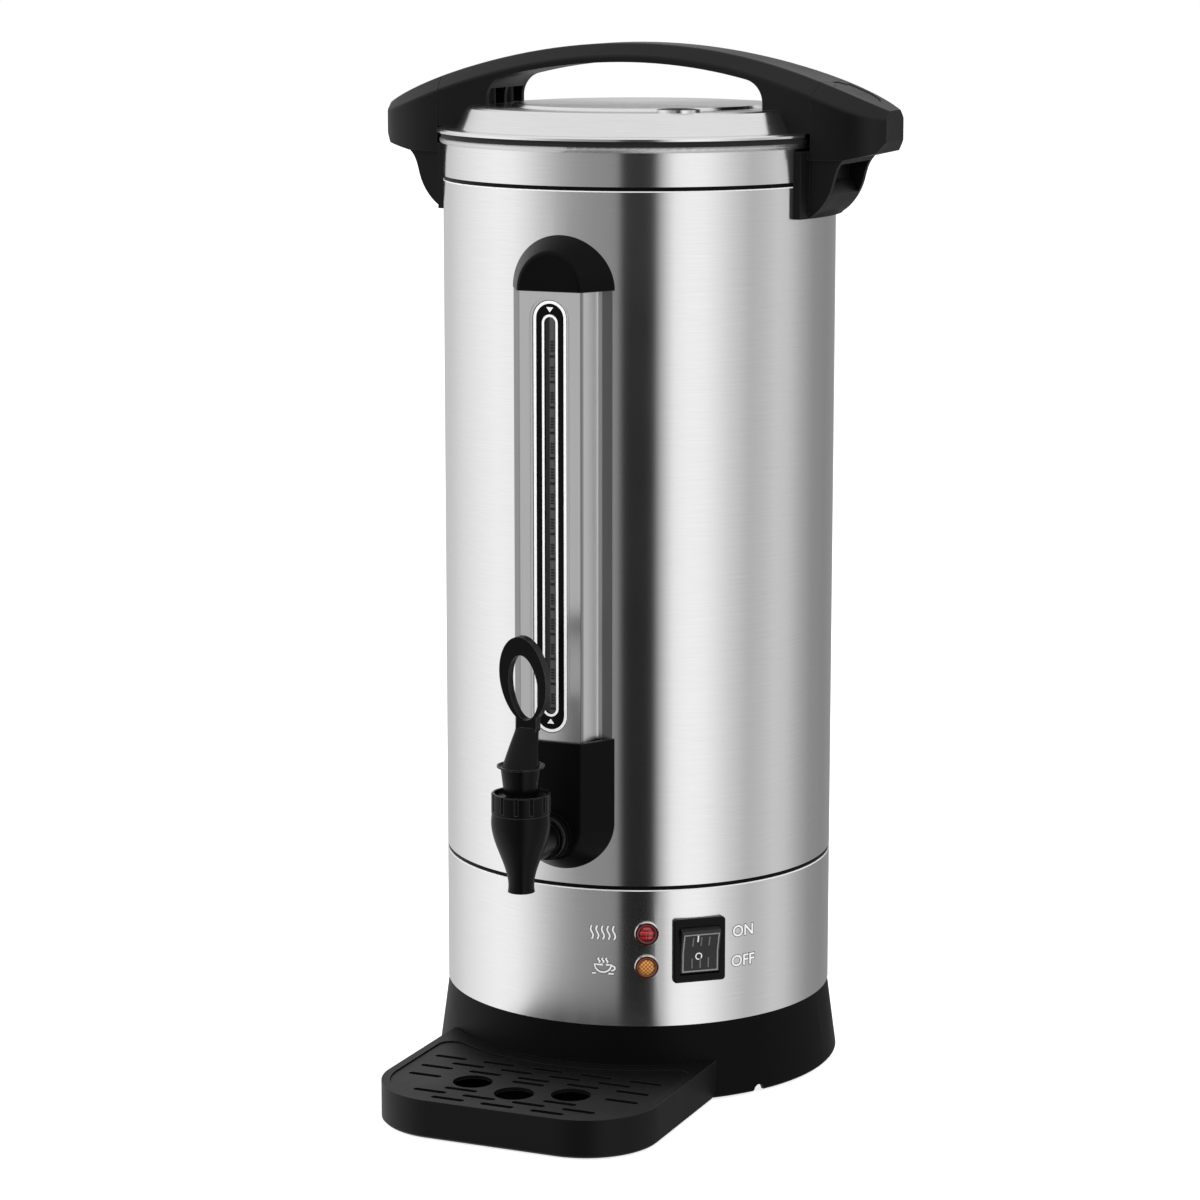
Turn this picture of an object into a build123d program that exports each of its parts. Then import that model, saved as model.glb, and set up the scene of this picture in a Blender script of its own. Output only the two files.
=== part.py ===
from build123d import *
from math import cos, pi, radians, sin, sqrt
import os

# A tall steel coffee urn: lift-off lid under an arched handle, level gauge, lever tap, rocker switch
# with two lamps, and a drip tray that slides off the base.
# Millimetres. +Z is up. The origin is on the body's axis at the counter, and the tap points to -Y.
# An azimuth is in degrees from the front (-Y) towards +X.

# ---- Clearances ----
FIT = 0.1                # between pieces that sit in each other and stay put
RUN = 0.05               # radial, a pin or stem in its bore
FREE = 0.4               # beside pieces that slide, lift or turn

# ---- Body ----
BODY_R = 110.0           # outside of the steel walls
SHEET = 0.8              # steel sheet
BASE_TOP_Z = 43.3        # black skirt below, steel above
LOWER_GROOVE_Z = 121.8
UPPER_GROOVE_Z = 503.8
GROOVE = 2.2             # height of a visible trim groove
GROOVE_DEPTH = 0.5
MOUTH_Z = 524.4          # centre of the rolled bead
BEAD_R = 1.5
INNER_R = BODY_R - SHEET

# ---- Skirt and base plate ----
SKIRT_TOP_R = BODY_R - 0.5
SKIRT_FLARE = 5.6
SKIRT_WALL = 3.0
RIM_Z = 1.2              # skirt's rim above the counter
SPIGOT = 6.0             # how far the skirt reaches up inside the band
NOTCH_R = 3.5
NOTCH_AZIMUTHS = (58.7, 121.3, 238.7, 301.3)
BOSS_R = 5.0
BOSS_CIRCLE_R = BODY_R - 12.0
BOSS_AZIMUTHS = (45, 135, 225, 315)
BOSS_TOP_Z = 34.0
PLATE_Z = 3.0
PLATE = 1.5
FOOT_R = 9.0
FOOT_CIRCLE_R = BODY_R - 20.0
FOOT_AZIMUTHS = (20, 110, 200, 290)
FOOT_HOLE_R = 4.0
VENT_SLOTS = 12
VENT_SLOT = (35.0, 60.0)  # its two ends, from the axis
VENT_SLOT_HALF_W = 2.5
SCREW_R = 1.9            # M4 shank

# ---- Tank ----
WALL_SPACE = 10.0        # between the body's outside and the tank
TANK_R = BODY_R - WALL_SPACE
TANK_FLOOR_Z = 135.0
TANK_CORNER = 8.0
TANK_LIP_Z = MOUTH_Z - 0.5
RING_WEB = 5.0           # height of a trim ring's inner web above and below its groove
RING_THICK = 3.0

# ---- Heater ----
HEAT_PLATE_R = TANK_R - 20.0
HEAT_PLATE = 4.0
ELEMENT_RING_R = HEAT_PLATE_R - 18.0
ELEMENT_R = 4.2
ELEMENT_TURN = 320.0
ELEMENT_LEG = 16.0
CLAMP = (2 * HEAT_PLATE_R - 10.0, 18.0, 1.6)
STUD_R = 3.0
TIE_R = 2.5
TIE_CIRCLE_R = TANK_R - 14.0
TIE_AZIMUTHS = (100, 220, 340)
DISC_R = 8.0             # bimetal disc thermostats
DISC_H = 10.0
DISC_TAB = 8.0
DISC_X = 26.0
DISC_Y = 30.0

# ---- Lid ----
GASKET_GAP = 3.5         # dark line between the bead and the lid's rim
PAN_R = TANK_R - 2.5
PAN_FLOOR_Z = MOUTH_Z - 8.4
LID_RIM_R = BODY_R + 3.0
LID_WALL_R = BODY_R - 7.5  # lid's side wall at its foot
LID_SHOULDER_R = LID_WALL_R - 4.5
LID_DISC_R = LID_SHOULDER_R - 28.0
LID_SHOULDER_H = 12.0    # shoulder above the lid's flange
LID_DISC_RISE = 1.5
VENT_AZIMUTH = 37.0
VENT_CIRCLE_R = LID_SHOULDER_R - 15.0
VENT_R = 11.0

# ---- Arched handle ----
HANDLE_TOP_Z = MOUTH_Z + 53.6
ARCH_R = 340.0           # top outline
OVERHANG = 40.0          # handle's tips beyond the body
HALF_SPAN = BODY_R + OVERHANG
STRAP = 10.4             # strap's thickness in its middle
ARCH_UNDER_R = 320.0
LEG_X = BODY_R - 27.5    # inner face of the lid handle's legs
LEG_ROUND = 13.0
SEAM_R = BODY_R + 5.0    # where the lid handle ends and the fixed side handles begin
TIP_BOTTOM_Z = MOUTH_Z + 2.1
EDGE_ROUND = 2.4         # along the edges of the chamfers
# stations from the middle to the tip: x, half width, half width of the top flat, chamfer's height
HANDLE_STATIONS = (
    (0, 20.0, 12.0, 7.0), (30, 20.8, 12.6, 7.1), (60, 22.8, 14.0, 7.4), (HALF_SPAN - 62, 26.3, 16.3, 8.0),
    (HALF_SPAN - 38, 29.2, 18.4, 8.4), (HALF_SPAN - 24, 28.6, 18.0, 8.4), (HALF_SPAN - 12, 24.8, 15.6, 7.6),
    (HALF_SPAN - 4, 19.4, 12.0, 6.2), (HALF_SPAN, 14.5, 9.2, 4.4))
LID_SCREW_X = LEG_X + 5.5
LID_SCREW_Y = 12.0
PAD_HALF_W = 35.0        # pad of a side handle, against the body
PAD = 3.8
PAD_BOTTOM_Z = MOUTH_Z - 39.4
PAD_TOP_Z = MOUTH_Z - 2.9
BRACKET_HALF_W = 27.0
BRACKET_WEB = 3.5
SIDE_SCREW_Z = (PAD_BOTTOM_Z + 8, PAD_TOP_Z - 8)
# front line of the bracket's webs: distance beyond the body, height above the pad's foot
BRACKET_LINE = ((20.4, 32.5), (15.6, 25.0), (13.4, 17.0), (8.8, 8.0), (0.0, 0.0))
INSET = (4.0, 13.0, 0.5)  # shallow panel on a tip's top: distance from the seam, half width, depth
INSET_L = 22.0

# ---- Level gauge ----
GAUGE_FRONT = BODY_R + 14.5  # cover's front face from the axis
GAUGE_HALF_W = 18.0
GAUGE_ROOT_HALF_W = 23.0
GAUGE_FLANGE_HALF_W = 29.0
GAUGE_BOTTOM_Z = 205.5
GAUGE_TOP_Z = 450.0
WINDOW_W = 19.8
WINDOW_Z = (GAUGE_BOTTOM_Z + 4.6, GAUGE_TOP_Z - 4.5)
SLOT_W = 6.2
SLOT_Z = (WINDOW_Z[0] + 10.4, WINDOW_Z[1] - 9.2)
RECESS_BEYOND = 1.7      # thin line pressed round the window, outside of its edge
TUBE_R = 4.4
TUBE_WALL = 1.1
TUBE_DIST = BODY_R + 6.4
CAP_FRONT = GAUGE_FRONT + 1.5
CAP_REAR = BODY_R - 6.0
CAP_HALF_W = 18.5
CAP_REAR_HALF_W = 31.0
CAP_WALL = 2.4
TOP_CAP_H = 32.0
TOP_CAP_FRONT_H = 21.0
ELBOW_Z = GAUGE_TOP_Z + 10.5
PORT_R = 4.0

# ---- Tap ----
TAP_REACH = 53.5         # tap's axis beyond the body
TAP_DIST = BODY_R + TAP_REACH
SHANK_Z = 153.3
SHANK_R = 8.0
SHANK_BORE_R = 4.5
SHANK_END = TANK_R - 12.0  # shank's end inside the tank, from the axis
NOZZLE_Z = SHANK_Z - 22.3
NOZZLE_R = 7.3
NOZZLE_BORE_R = 5.0
SEAT_Z = SHANK_Z - 5.3
CHAMBER_R = 8.6
BULB_R = 15.6
BONNET_Z = SHANK_Z + 21.2
# skin of the tap between its nozzle and its bonnet: radius, height above the nozzle
BULB_LINE = ((7.0, 5.0), (8.2, 11.2), (11.6, 20.9), (14.2, 28.0))
BONNET_R = 15.9
BONNET_H = 11.0
BONNET_FLOOR_Z = BONNET_Z + 9.0
BONNET_FLOOR = 2.2
BONNET_RIM = 1.6
KNURLS = 12
STEM_R = 3.0
STEM_ABOVE_PIN = 4.0
LEVER_THROW = 30.0
CUP_LIFT = 0.4           # lever's cup above the bonnet's floor
PIN_ABOVE = 8.0          # cross pin above the cup's lower edge
PIN_R = 1.5
CUP_BOTTOM_R = 9.2
CUP_TOP_R = 10.9
CUP_FLANGE_R = 12.9
CUP_FLANGE_Z = BONNET_FLOOR_Z + 16.9
LOOP_TOP_Z = CUP_FLANGE_Z + 70.0
LOOP_HALF_W = 13.4
LOOP_HALF_H = 24.0
HOLE_HALF_W = 8.4
HOLE_HALF_H = 18.3
HOLE_Z = LOOP_TOP_Z - 28.6
LEVER_THICK = 6.0
# the lever's blade in side view: distance behind the tap's axis, height above the cup's flange
LEVER_LINE = ((9.3, 17.0), (9.7, 25.0), (7.0, 39.5), (3.0, 57.0), (0.2, 71.5))
BOSS_RING_R = 12.8
BOSS_RING_DIST = CAP_FRONT + 5.0

# ---- Controls ----
LAMP_AZIMUTH = 25.0
LAMP_Z = (96.3, 77.4)    # red above, amber below
LAMP_R = 4.6
LAMP_BEZEL_R = 6.75
SWITCH_AZIMUTH = 40.2
SWITCH_Z = 86.0
BEZEL = (30.0, 36.0, 2.2)
SWITCH_BODY = (26.0, 30.4, 24.0)
SWITCH_WALL = 1.6
SWITCH_TAB = 8.0
ROCKER_THROW = 9.0       # each way from level
ROCKER_AXIS = -1.0       # from the body's surface outwards
INLET_Z = 82.0
INLET = (24.0, 16.4, 15.5)
INLET_PINS = ((-7, -1.5), (0, 2.5), (7, -1.5))
INLET_PIN_BACK = 10.0
INLET_WALL = 1.5
INLET_FLANGE = 4.0       # beyond the socket, all round

# ---- Drip tray ----
TRAY_HALF_W = 80.0
TRAY_FRONT = BODY_R + 96.0
TRAY_ARM_END = BODY_R - 34.0  # rear end of its arms, from the axis
TRAY_CORNER = 42.0
TRAY_Z = (0.8, 22.0)
TRAY_WALL = 2.2
TRAY_RIM = 4.7           # rim's width round the grille
TRAY_BACK_SHELF = 7.0
GRILLE = 2.0
GRILLE_DROP = 0.8
GRILLE_SEAT = 1.6
GRILLE_CORNER = 8.0      # rear corners of the recess the grille sits in
HOLE_R = 11.0
DASH_PITCH = 29.2
# finger holes: place along X, distance from the front
HOLES = ((-DASH_PITCH, 41.8), (DASH_PITCH, 41.8), (0, 32.0))
DASH = (19.5, 4.0)
# rows of dashes: distance from the front, places along the row in pitches
DASH_ROWS = (
    (76.2, (-2, -1, 0, 1, 2)), (67.0, (-1.5, -0.5, 0.5, 1.5)), (57.8, (-2, -1, 0, 1, 2)),
    (50.6, (0,)), (42.6, (-2, 2)), (26.8, (-1, 1)), (18.4, (-1.5, -0.5, 0.5, 1.5)),
    (9.9, (-1, 0, 1)))
TONGUE_X = 45.0
TONGUE_W = 18.0
TONGUE_Z = (10.0, 14.0)
TONGUE_L = 12.0

# ---- Brewing parts ----
BASKET_R = TANK_R - 30.0
BASKET_Z = (PAN_FLOOR_Z - 82.0, PAN_FLOOR_Z - 12.0)
STEM_TUBE_R = 4.4
STEM_TOP_Z = PAN_FLOOR_Z - 4.0
STEM_FOOT_R = 24.0
BREW_HOLES = 12
BREW_HOLE_R = 1.5
BREW_CIRCLES = (BASKET_R - 45.0, BASKET_R - 20.0)

# ---- Worked out ----
BEAD_AXIS_R = BODY_R + 0.4
TANK_LIP_R = BEAD_AXIS_R - BEAD_R - FIT
TANK_UNDER_Z = TANK_FLOOR_Z - SHEET
PLATE_UNDER_Z = TANK_UNDER_Z - HEAT_PLATE
FLANGE_Z = MOUTH_Z + BEAD_R + GASKET_GAP
LID_RIM_Z = FLANGE_Z + 2 * SHEET
SHOULDER_Z = LID_RIM_Z + LID_SHOULDER_H
DISC_Z = SHOULDER_Z + LID_DISC_RISE
CUP_BOTTOM_Z = BONNET_FLOOR_Z + CUP_LIFT
FITTING_FRONT = CAP_FRONT - CAP_WALL - FREE      # front of the two gauge fittings, inside their caps
PIN_Z = CUP_BOTTOM_Z + PIN_ABOVE
GRILLE_TOP_Z = TRAY_Z[1] - GRILLE_DROP

ON_FLOOR = (Align.CENTER, Align.CENTER, Align.MIN)


# ---- Shapes used throughout ----

def at(azimuth, radius, z=0.0):
    """Point at an azimuth and radius."""
    return radius * sin(radians(azimuth)), -radius * cos(radians(azimuth)), z


def facing(azimuth, z, radius=BODY_R):
    """Plane that touches the body: x to the right as seen from outside, y up, z outwards."""
    a = radians(azimuth)
    return Plane(origin=at(azimuth, radius, z), x_dir=(cos(a), sin(a), 0), z_dir=(sin(a), -cos(a), 0))


def box(x0, x1, y0, y1, z0, z1):
    return Pos((x0 + x1) / 2, (y0 + y1) / 2, (z0 + z1) / 2) * Box(x1 - x0, y1 - y0, z1 - z0)


def post(radius, z0, z1, x=0.0, y=0.0):
    return Pos(x, y, z0) * Cylinder(radius, z1 - z0, align=ON_FLOOR)


def ring(outer, inner, z0, z1, x=0.0, y=0.0):
    return post(outer, z0, z1, x, y) - post(inner, z0 - 1, z1 + 1, x, y)


def rod_y(radius, y0, y1, x=0.0, z=0.0):
    return Pos(x, y0, z) * Rot(-90, 0, 0) * Cylinder(radius, y1 - y0, align=ON_FLOOR)


def rod_x(radius, x0, x1, y=0.0, z=0.0):
    return Pos(x0, y, z) * Rot(0, 90, 0) * Cylinder(radius, x1 - x0, align=ON_FLOOR)


def turned(points):
    """Solid of revolution about Z from (radius, height) points."""
    return revolve(make_face(Polyline([(r, 0, z) for r, z in points], close=True)), Axis.Z)


def prism_x(points, x0, x1):
    """Outline of (y, z) points, drawn out along X."""
    face = make_face(Polyline([(x0, y, z) for y, z in points], close=True))
    return extrude(face, amount=x1 - x0, dir=(1, 0, 0))


def prism_y(points, y0, y1):
    """Outline of (x, z) points, drawn out along Y."""
    face = make_face(Polyline([(x, y0, z) for x, z in points], close=True))
    return extrude(face, amount=y1 - y0, dir=(0, 1, 0))


def prism_z(points, z0, z1):
    """Outline of (x, y) points, drawn out along Z."""
    face = make_face(Polyline([(x, y, z0) for x, y in points], close=True))
    return extrude(face, amount=z1 - z0, dir=(0, 0, 1))


def cup(radius, z0, z1, corner):
    """Cylinder with its lower edge rounded."""
    solid = post(radius, z0, z1)
    return fillet(solid.edges().filter_by(GeomType.CIRCLE).sort_by(Axis.Z)[0], corner)


def stadium_y(width, z_low, z_high, y0, y1):
    """Upright slot outline with round ends, drawn out along Y."""
    r = width / 2
    middle = box(-r, r, y0, y1, z_low + r, z_high - r)
    return middle + rod_y(r, y0, y1, 0, z_low + r) + rod_y(r, y0, y1, 0, z_high - r)


def nut(across_flats, bore, z0, z1, x=0.0, y=0.0):
    hexagon = extrude(RegularPolygon(across_flats / 2, 6, major_radius=False), amount=z1 - z0)
    return Pos(x, y, z0) * hexagon - post(bore, z0 - 1, z1 + 1, x, y)


def group(solids):
    """Separate solids that share one node."""
    return Compound(children=list(solids))


# ---- Stand and base ----

def skirt_r(z):
    """Outside radius of the skirt at a height."""
    return SKIRT_TOP_R + SKIRT_FLARE * (BASE_TOP_Z - z) / (BASE_TOP_Z - RIM_Z)


def skirt_inner_r(z):
    return skirt_r(z) - SKIRT_WALL


def base_skirt():
    spigot_r = INNER_R - FIT
    shell = turned([
        (skirt_inner_r(RIM_Z), RIM_Z), (skirt_r(RIM_Z) - 1, RIM_Z), (skirt_r(RIM_Z + 1), RIM_Z + 1),
        (SKIRT_TOP_R, BASE_TOP_Z), (spigot_r, BASE_TOP_Z), (spigot_r, BASE_TOP_Z + SPIGOT),
        (spigot_r - SKIRT_WALL, BASE_TOP_Z + SPIGOT),
        (spigot_r - SKIRT_WALL, BASE_TOP_Z - SPIGOT)])
    envelope = turned([(0, RIM_Z), (skirt_r(RIM_Z), RIM_Z), (SKIRT_TOP_R, BASE_TOP_Z), (0, BASE_TOP_Z)])
    floor_z = PLATE_Z + PLATE
    for azimuth in BOSS_AZIMUTHS:
        x, y, _ = at(azimuth, BOSS_CIRCLE_R)
        rib = Rot(0, 0, azimuth) * box(-1.5, 1.5, -skirt_r(RIM_Z), -BOSS_CIRCLE_R, floor_z, BOSS_TOP_Z)
        shell += rib & envelope
        shell += post(BOSS_R, floor_z, BOSS_TOP_Z, x, y)
    for azimuth in BOSS_AZIMUTHS:
        x, y, _ = at(azimuth, BOSS_CIRCLE_R)
        shell -= post(SCREW_R + FIT / 2, 0, BOSS_TOP_Z - 6, x, y)
    for azimuth in NOTCH_AZIMUTHS:
        shell -= facing(azimuth, RIM_Z, BODY_R - 5).location * Cylinder(NOTCH_R, 40)
    for side in (-1, 1):
        x = side * TONGUE_X
        shell -= box(x - TONGUE_W / 2 - FREE, x + TONGUE_W / 2 + FREE, -BODY_R - 10, -BODY_R + 20,
                     TONGUE_Z[0] - FREE, TONGUE_Z[1] + FREE)
    return shell


def base_plate():
    top = PLATE_Z + PLATE
    plate = post(skirt_inner_r(top) - 3 * FREE, PLATE_Z, top)
    for azimuth in BOSS_AZIMUTHS:
        x, y, _ = at(azimuth, BOSS_CIRCLE_R)
        plate -= post(SCREW_R + FIT, 0, 9, x, y)
    for azimuth in FOOT_AZIMUTHS:
        x, y, _ = at(azimuth, FOOT_CIRCLE_R)
        plate -= post(FOOT_HOLE_R, 0, 9, x, y)
    for azimuth in TIE_AZIMUTHS:
        x, y, _ = at(azimuth, TIE_CIRCLE_R)
        plate -= post(TIE_R + FIT, 0, 9, x, y)
    for i in range(VENT_SLOTS):
        plate -= Rot(0, 0, i * 360 / VENT_SLOTS) * box(-VENT_SLOT_HALF_W, VENT_SLOT_HALF_W, *VENT_SLOT, 0, 9)
    return plate


def base_screws():
    screws = []
    for azimuth in BOSS_AZIMUTHS:
        x, y, _ = at(azimuth, BOSS_CIRCLE_R)
        screws.append(post(3.8, PLATE_Z - 2, PLATE_Z, x, y) + post(SCREW_R, PLATE_Z, 18, x, y))
    return group(screws)


def rubber_feet():
    top = PLATE_Z + PLATE
    foot = turned([
        (0, 0), (FOOT_R - 1, 0), (FOOT_R, 1), (FOOT_R, PLATE_Z), (FOOT_HOLE_R - RUN, PLATE_Z),
        (FOOT_HOLE_R - RUN, top), (FOOT_HOLE_R + 1.2, top), (FOOT_HOLE_R - 1, top + 3), (0, top + 3)])
    return group(Pos(*at(a, FOOT_CIRCLE_R)) * foot for a in FOOT_AZIMUTHS)


# ---- Body ----

def control_band():
    band = ring(BODY_R, INNER_R, BASE_TOP_Z, LOWER_GROOVE_Z - GROOVE / 2)
    for z in LAMP_Z:
        band -= facing(LAMP_AZIMUTH, z).location * Cylinder(LAMP_R + FIT, 20)
    w, h, _ = SWITCH_BODY
    band -= facing(SWITCH_AZIMUTH, SWITCH_Z).location * Box(w + 2 * FIT, h + 2 * FIT, 20)
    w, h, _ = INLET
    side = 2 * (INLET_WALL + FIT)
    band -= facing(180, INLET_Z).location * Box(w + side, h + side, 20)
    return band


def trim_ring(z):
    outer = INNER_R - FIT
    web = ring(outer, outer - RING_THICK, z - RING_WEB, z + RING_WEB)
    return web + ring(BODY_R - GROOVE_DEPTH, outer - 1, z - GROOVE / 2, z + GROOVE / 2)


def lower_trim_ring():
    return trim_ring(LOWER_GROOVE_Z)


def upper_trim_ring():
    return trim_ring(UPPER_GROOVE_Z)


def side_screw_holes(solid):
    for side in (-1, 1):
        for z in SIDE_SCREW_Z:
            ends = sorted((side * (BODY_R - 20), side * (BODY_R + 8)))
            solid -= rod_x(SCREW_R + FIT, *ends, 0, z)
    return solid


def outer_shell():
    shell = ring(BODY_R, INNER_R, LOWER_GROOVE_Z + GROOVE / 2, UPPER_GROOVE_Z - GROOVE / 2)
    shell -= rod_y(SHANK_R + 3 * FIT, -BODY_R - 5, -BODY_R + 20, 0, SHANK_Z)
    shell -= rod_y(PORT_R + 2 * FIT, -BODY_R - 5, -BODY_R + 20, 0, ELBOW_Z)
    return side_screw_holes(shell)


def upper_collar():
    collar = ring(BODY_R, INNER_R, UPPER_GROOVE_Z + GROOVE / 2, MOUTH_Z)
    collar += Pos(0, 0, MOUTH_Z) * Torus(BEAD_AXIS_R, BEAD_R)
    return side_screw_holes(collar)


def inner_tank():
    tank = cup(TANK_R + SHEET, TANK_UNDER_Z, TANK_LIP_Z, TANK_CORNER + SHEET)
    tank += post(TANK_LIP_R, TANK_LIP_Z - SHEET, TANK_LIP_Z)
    tank -= cup(TANK_R, TANK_FLOOR_Z, TANK_LIP_Z + 1, TANK_CORNER)
    tank -= rod_y(SHANK_R + 3 * FIT, -TANK_R - 5, -TANK_R + 10, 0, SHANK_Z)
    return tank - rod_y(PORT_R + 2 * FIT, -TANK_R - 5, -TANK_R + 10, 0, ELBOW_Z)


def tie_rods():
    rods = []
    for azimuth in TIE_AZIMUTHS:
        x, y, _ = at(azimuth, TIE_CIRCLE_R)
        rods.append(post(TIE_R, 0.6, TANK_UNDER_Z, x, y))
        rods.append(nut(7.0, TIE_R + RUN, PLATE_Z - 2.2, PLATE_Z, x, y))
    return group(rods)


# ---- Heating ----

def heat_plate():
    plate = post(HEAT_PLATE_R, PLATE_UNDER_Z, TANK_UNDER_Z)
    for x, y in thermostat_screw_places():
        plate -= post(1.55, PLATE_UNDER_Z - 1, TANK_UNDER_Z - 1, x, y)
    return plate


def element_pin_z():
    """Lower end of the element's pins."""
    return PLATE_UNDER_Z - ELEMENT_R - ELEMENT_LEG - 9


def heating_element():
    ring_z = PLATE_UNDER_Z - ELEMENT_R
    half_gap = (360 - ELEMENT_TURN) / 2
    section = Pos(ELEMENT_RING_R, 0, ring_z) * Rot(90, 0, 0) * Circle(ELEMENT_R)
    element = revolve(section, Axis.Z, ELEMENT_TURN)
    element = Rot(0, 0, half_gap + 90) * element
    for sign in (-1, 1):
        x, y, _ = at(180 + sign * half_gap, ELEMENT_RING_R)
        element += post(ELEMENT_R, ring_z - ELEMENT_LEG, ring_z, x, y)
        element += Pos(x, y, ring_z) * Sphere(ELEMENT_R)
        element += post(1.6, element_pin_z(), ring_z - ELEMENT_LEG, x, y)
    return element


def clamp_under_z():
    """Underside of the bar that presses the element to the plate."""
    return PLATE_UNDER_Z - 2 * ELEMENT_R - CLAMP[2]


def element_clamp():
    length, width, thick = CLAMP
    z = clamp_under_z()
    bar = box(-length / 2, length / 2, -width / 2, width / 2, z, z + thick)
    return bar - post(STUD_R + FIT, z - 1, z + thick + 1)


def thermostat_screw_places():
    return [(sx * DISC_X + dx, DISC_Y) for sx in (-1, 1) for dx in (-12, 12)]


def disc_thermostat(x):
    """Bimetal disc in a flanged case, held against the heat plate, with two tabs."""
    z = PLATE_UNDER_Z
    case = post(DISC_R, z - DISC_H, z, x, DISC_Y) + box(x - 15, x + 15, DISC_Y - 4, DISC_Y + 4, z - 1.2, z)
    for dx in (-12, 12):
        case -= post(1.7, z - 3, z + 1, x + dx, DISC_Y)
    for dx in (-4, 4):
        case += box(x + dx - 0.4, x + dx + 0.4, DISC_Y - 3.1, DISC_Y + 3.1, z - DISC_H - DISC_TAB, z - DISC_H)
    return case


def keep_warm_thermostat():
    return disc_thermostat(-DISC_X)


def thermal_cutout():
    z = PLATE_UNDER_Z - DISC_H
    return disc_thermostat(DISC_X) + post(2.0, z - 3, z, DISC_X, DISC_Y)


def heater_fasteners():
    """Stud and nut of the clamp, and the thermostats' screws."""
    z = PLATE_UNDER_Z
    clamp_z = clamp_under_z()
    pieces = [post(STUD_R, clamp_z - 9, z), nut(10.0, STUD_R + RUN, clamp_z - 5, clamp_z)]
    for x, y in thermostat_screw_places():
        pieces.append(post(2.8, z - 3, z - 1.2, x, y) + post(1.5, z - 1.2, z + 2.5, x, y))
    return group(pieces)


# ---- Wiring ----

TERMINAL_X = (-12, 0, 12)
TERMINAL_Z = PLATE_Z + PLATE + 6
BLOCK_HALF_L = 20.0
BLOCK_HALF_W = 10.0
BLOCK_H = 16.0
BLOCK_Y = BODY_R - 60.0
LEAD_R = 1.3
LEAD_GAP = 0.3           # from a lead's end to its terminal


def terminal_block():
    z = PLATE_Z + PLATE
    back, front = BLOCK_Y + BLOCK_HALF_W, BLOCK_Y - BLOCK_HALF_W
    block = box(-BLOCK_HALF_L, BLOCK_HALF_L, front, back, z, z + BLOCK_H)
    for x in TERMINAL_X:
        block -= post(2.2, z + BLOCK_H / 2, z + BLOCK_H + 1, x, BLOCK_Y)
        block -= rod_y(LEAD_R + LEAD_GAP, front - 1, back + 1, x, TERMINAL_Z)
    return block


def lead(*points):
    """Insulated wire along straight runs with rounded turns."""
    path = FilletPolyline(*points, radius=6.0)
    return sweep(Plane(origin=path @ 0, z_dir=path % 0) * Circle(LEAD_R), path=path)


def switch_tab(x, y, inwards):
    """Point on the line of a switch tab, further inside the body by the given distance."""
    a = radians(SWITCH_AZIMUTH)
    px, py, _ = at(SWITCH_AZIMUTH, BODY_R - SWITCH_BODY[2] - SWITCH_TAB - inwards)
    return px + x * cos(a), py + x * sin(a), SWITCH_Z + y


def wiring_leads():
    z = TERMINAL_Z
    pins_y = BODY_R - INLET[2] - INLET_PIN_BACK - LEAD_GAP
    pins_z = INLET_Z + INLET_PINS[0][1]
    tab_z = PLATE_UNDER_Z - DISC_H - DISC_TAB - LEAD_GAP
    leg_x, leg_y, _ = at(180 - (360 - ELEMENT_TURN) / 2, ELEMENT_RING_R)
    leg_z = element_pin_z() - LEAD_GAP
    near, far = DISC_X - 4, DISC_X + 4
    low_x, _, high_x = TERMINAL_X
    back, front = BLOCK_Y + BLOCK_HALF_W - 3, BLOCK_Y - BLOCK_HALF_W + 3
    bend_z = leg_z - 10.7
    leads = [
        lead((0, back, z), (0, back + 9, z), (0, back + 9, z + 29.5), (-leg_x, leg_y, bend_z - 20),
             (-leg_x, leg_y, leg_z)),
        lead((far, DISC_Y, tab_z), (far, DISC_Y, bend_z), (leg_x, leg_y, bend_z), (leg_x, leg_y, leg_z)),
        lead((low_x, front, z), (low_x, front - 15, z), (-near, front - 19, tab_z - 52),
             (-near, DISC_Y, tab_z - 27), (-near, DISC_Y, tab_z)),
        lead((high_x, front, z), (high_x, front - 17, z), (34, -30, 24), switch_tab(-6.5, -8, 16),
             switch_tab(-6.5, -8, LEAD_GAP))]
    for side in (-1, 1):
        pin_x = side * INLET_PINS[-1][0]
        leads.append(lead((pin_x, pins_y, pins_z), (pin_x, pins_y - 9, pins_z),
                          (side * high_x, pins_y - 10.2, 50), (side * high_x, pins_y - 10.2, z),
                          (side * high_x, back, z)))
    return group(leads)


# ---- Lid ----

def lid_profile(drop):
    """Outer line of the lid from its middle to its rim, lowered by a sheet's thickness or raised."""
    return [(0, DISC_Z - drop), (LID_DISC_R, DISC_Z - drop), (LID_DISC_R + 2, SHOULDER_Z - drop),
            (LID_SHOULDER_R - 3.5, SHOULDER_Z - drop),
            (LID_SHOULDER_R - 1.2 - drop / 2, SHOULDER_Z - 0.8 - drop),
            (LID_SHOULDER_R - drop * 0.9, SHOULDER_Z - 2.6 - drop / 2),
            (LID_WALL_R - drop * 0.9, LID_RIM_Z - drop)]


def lid_vent_place():
    x, y, _ = at(VENT_AZIMUTH, VENT_CIRCLE_R)
    return x, y


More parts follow.
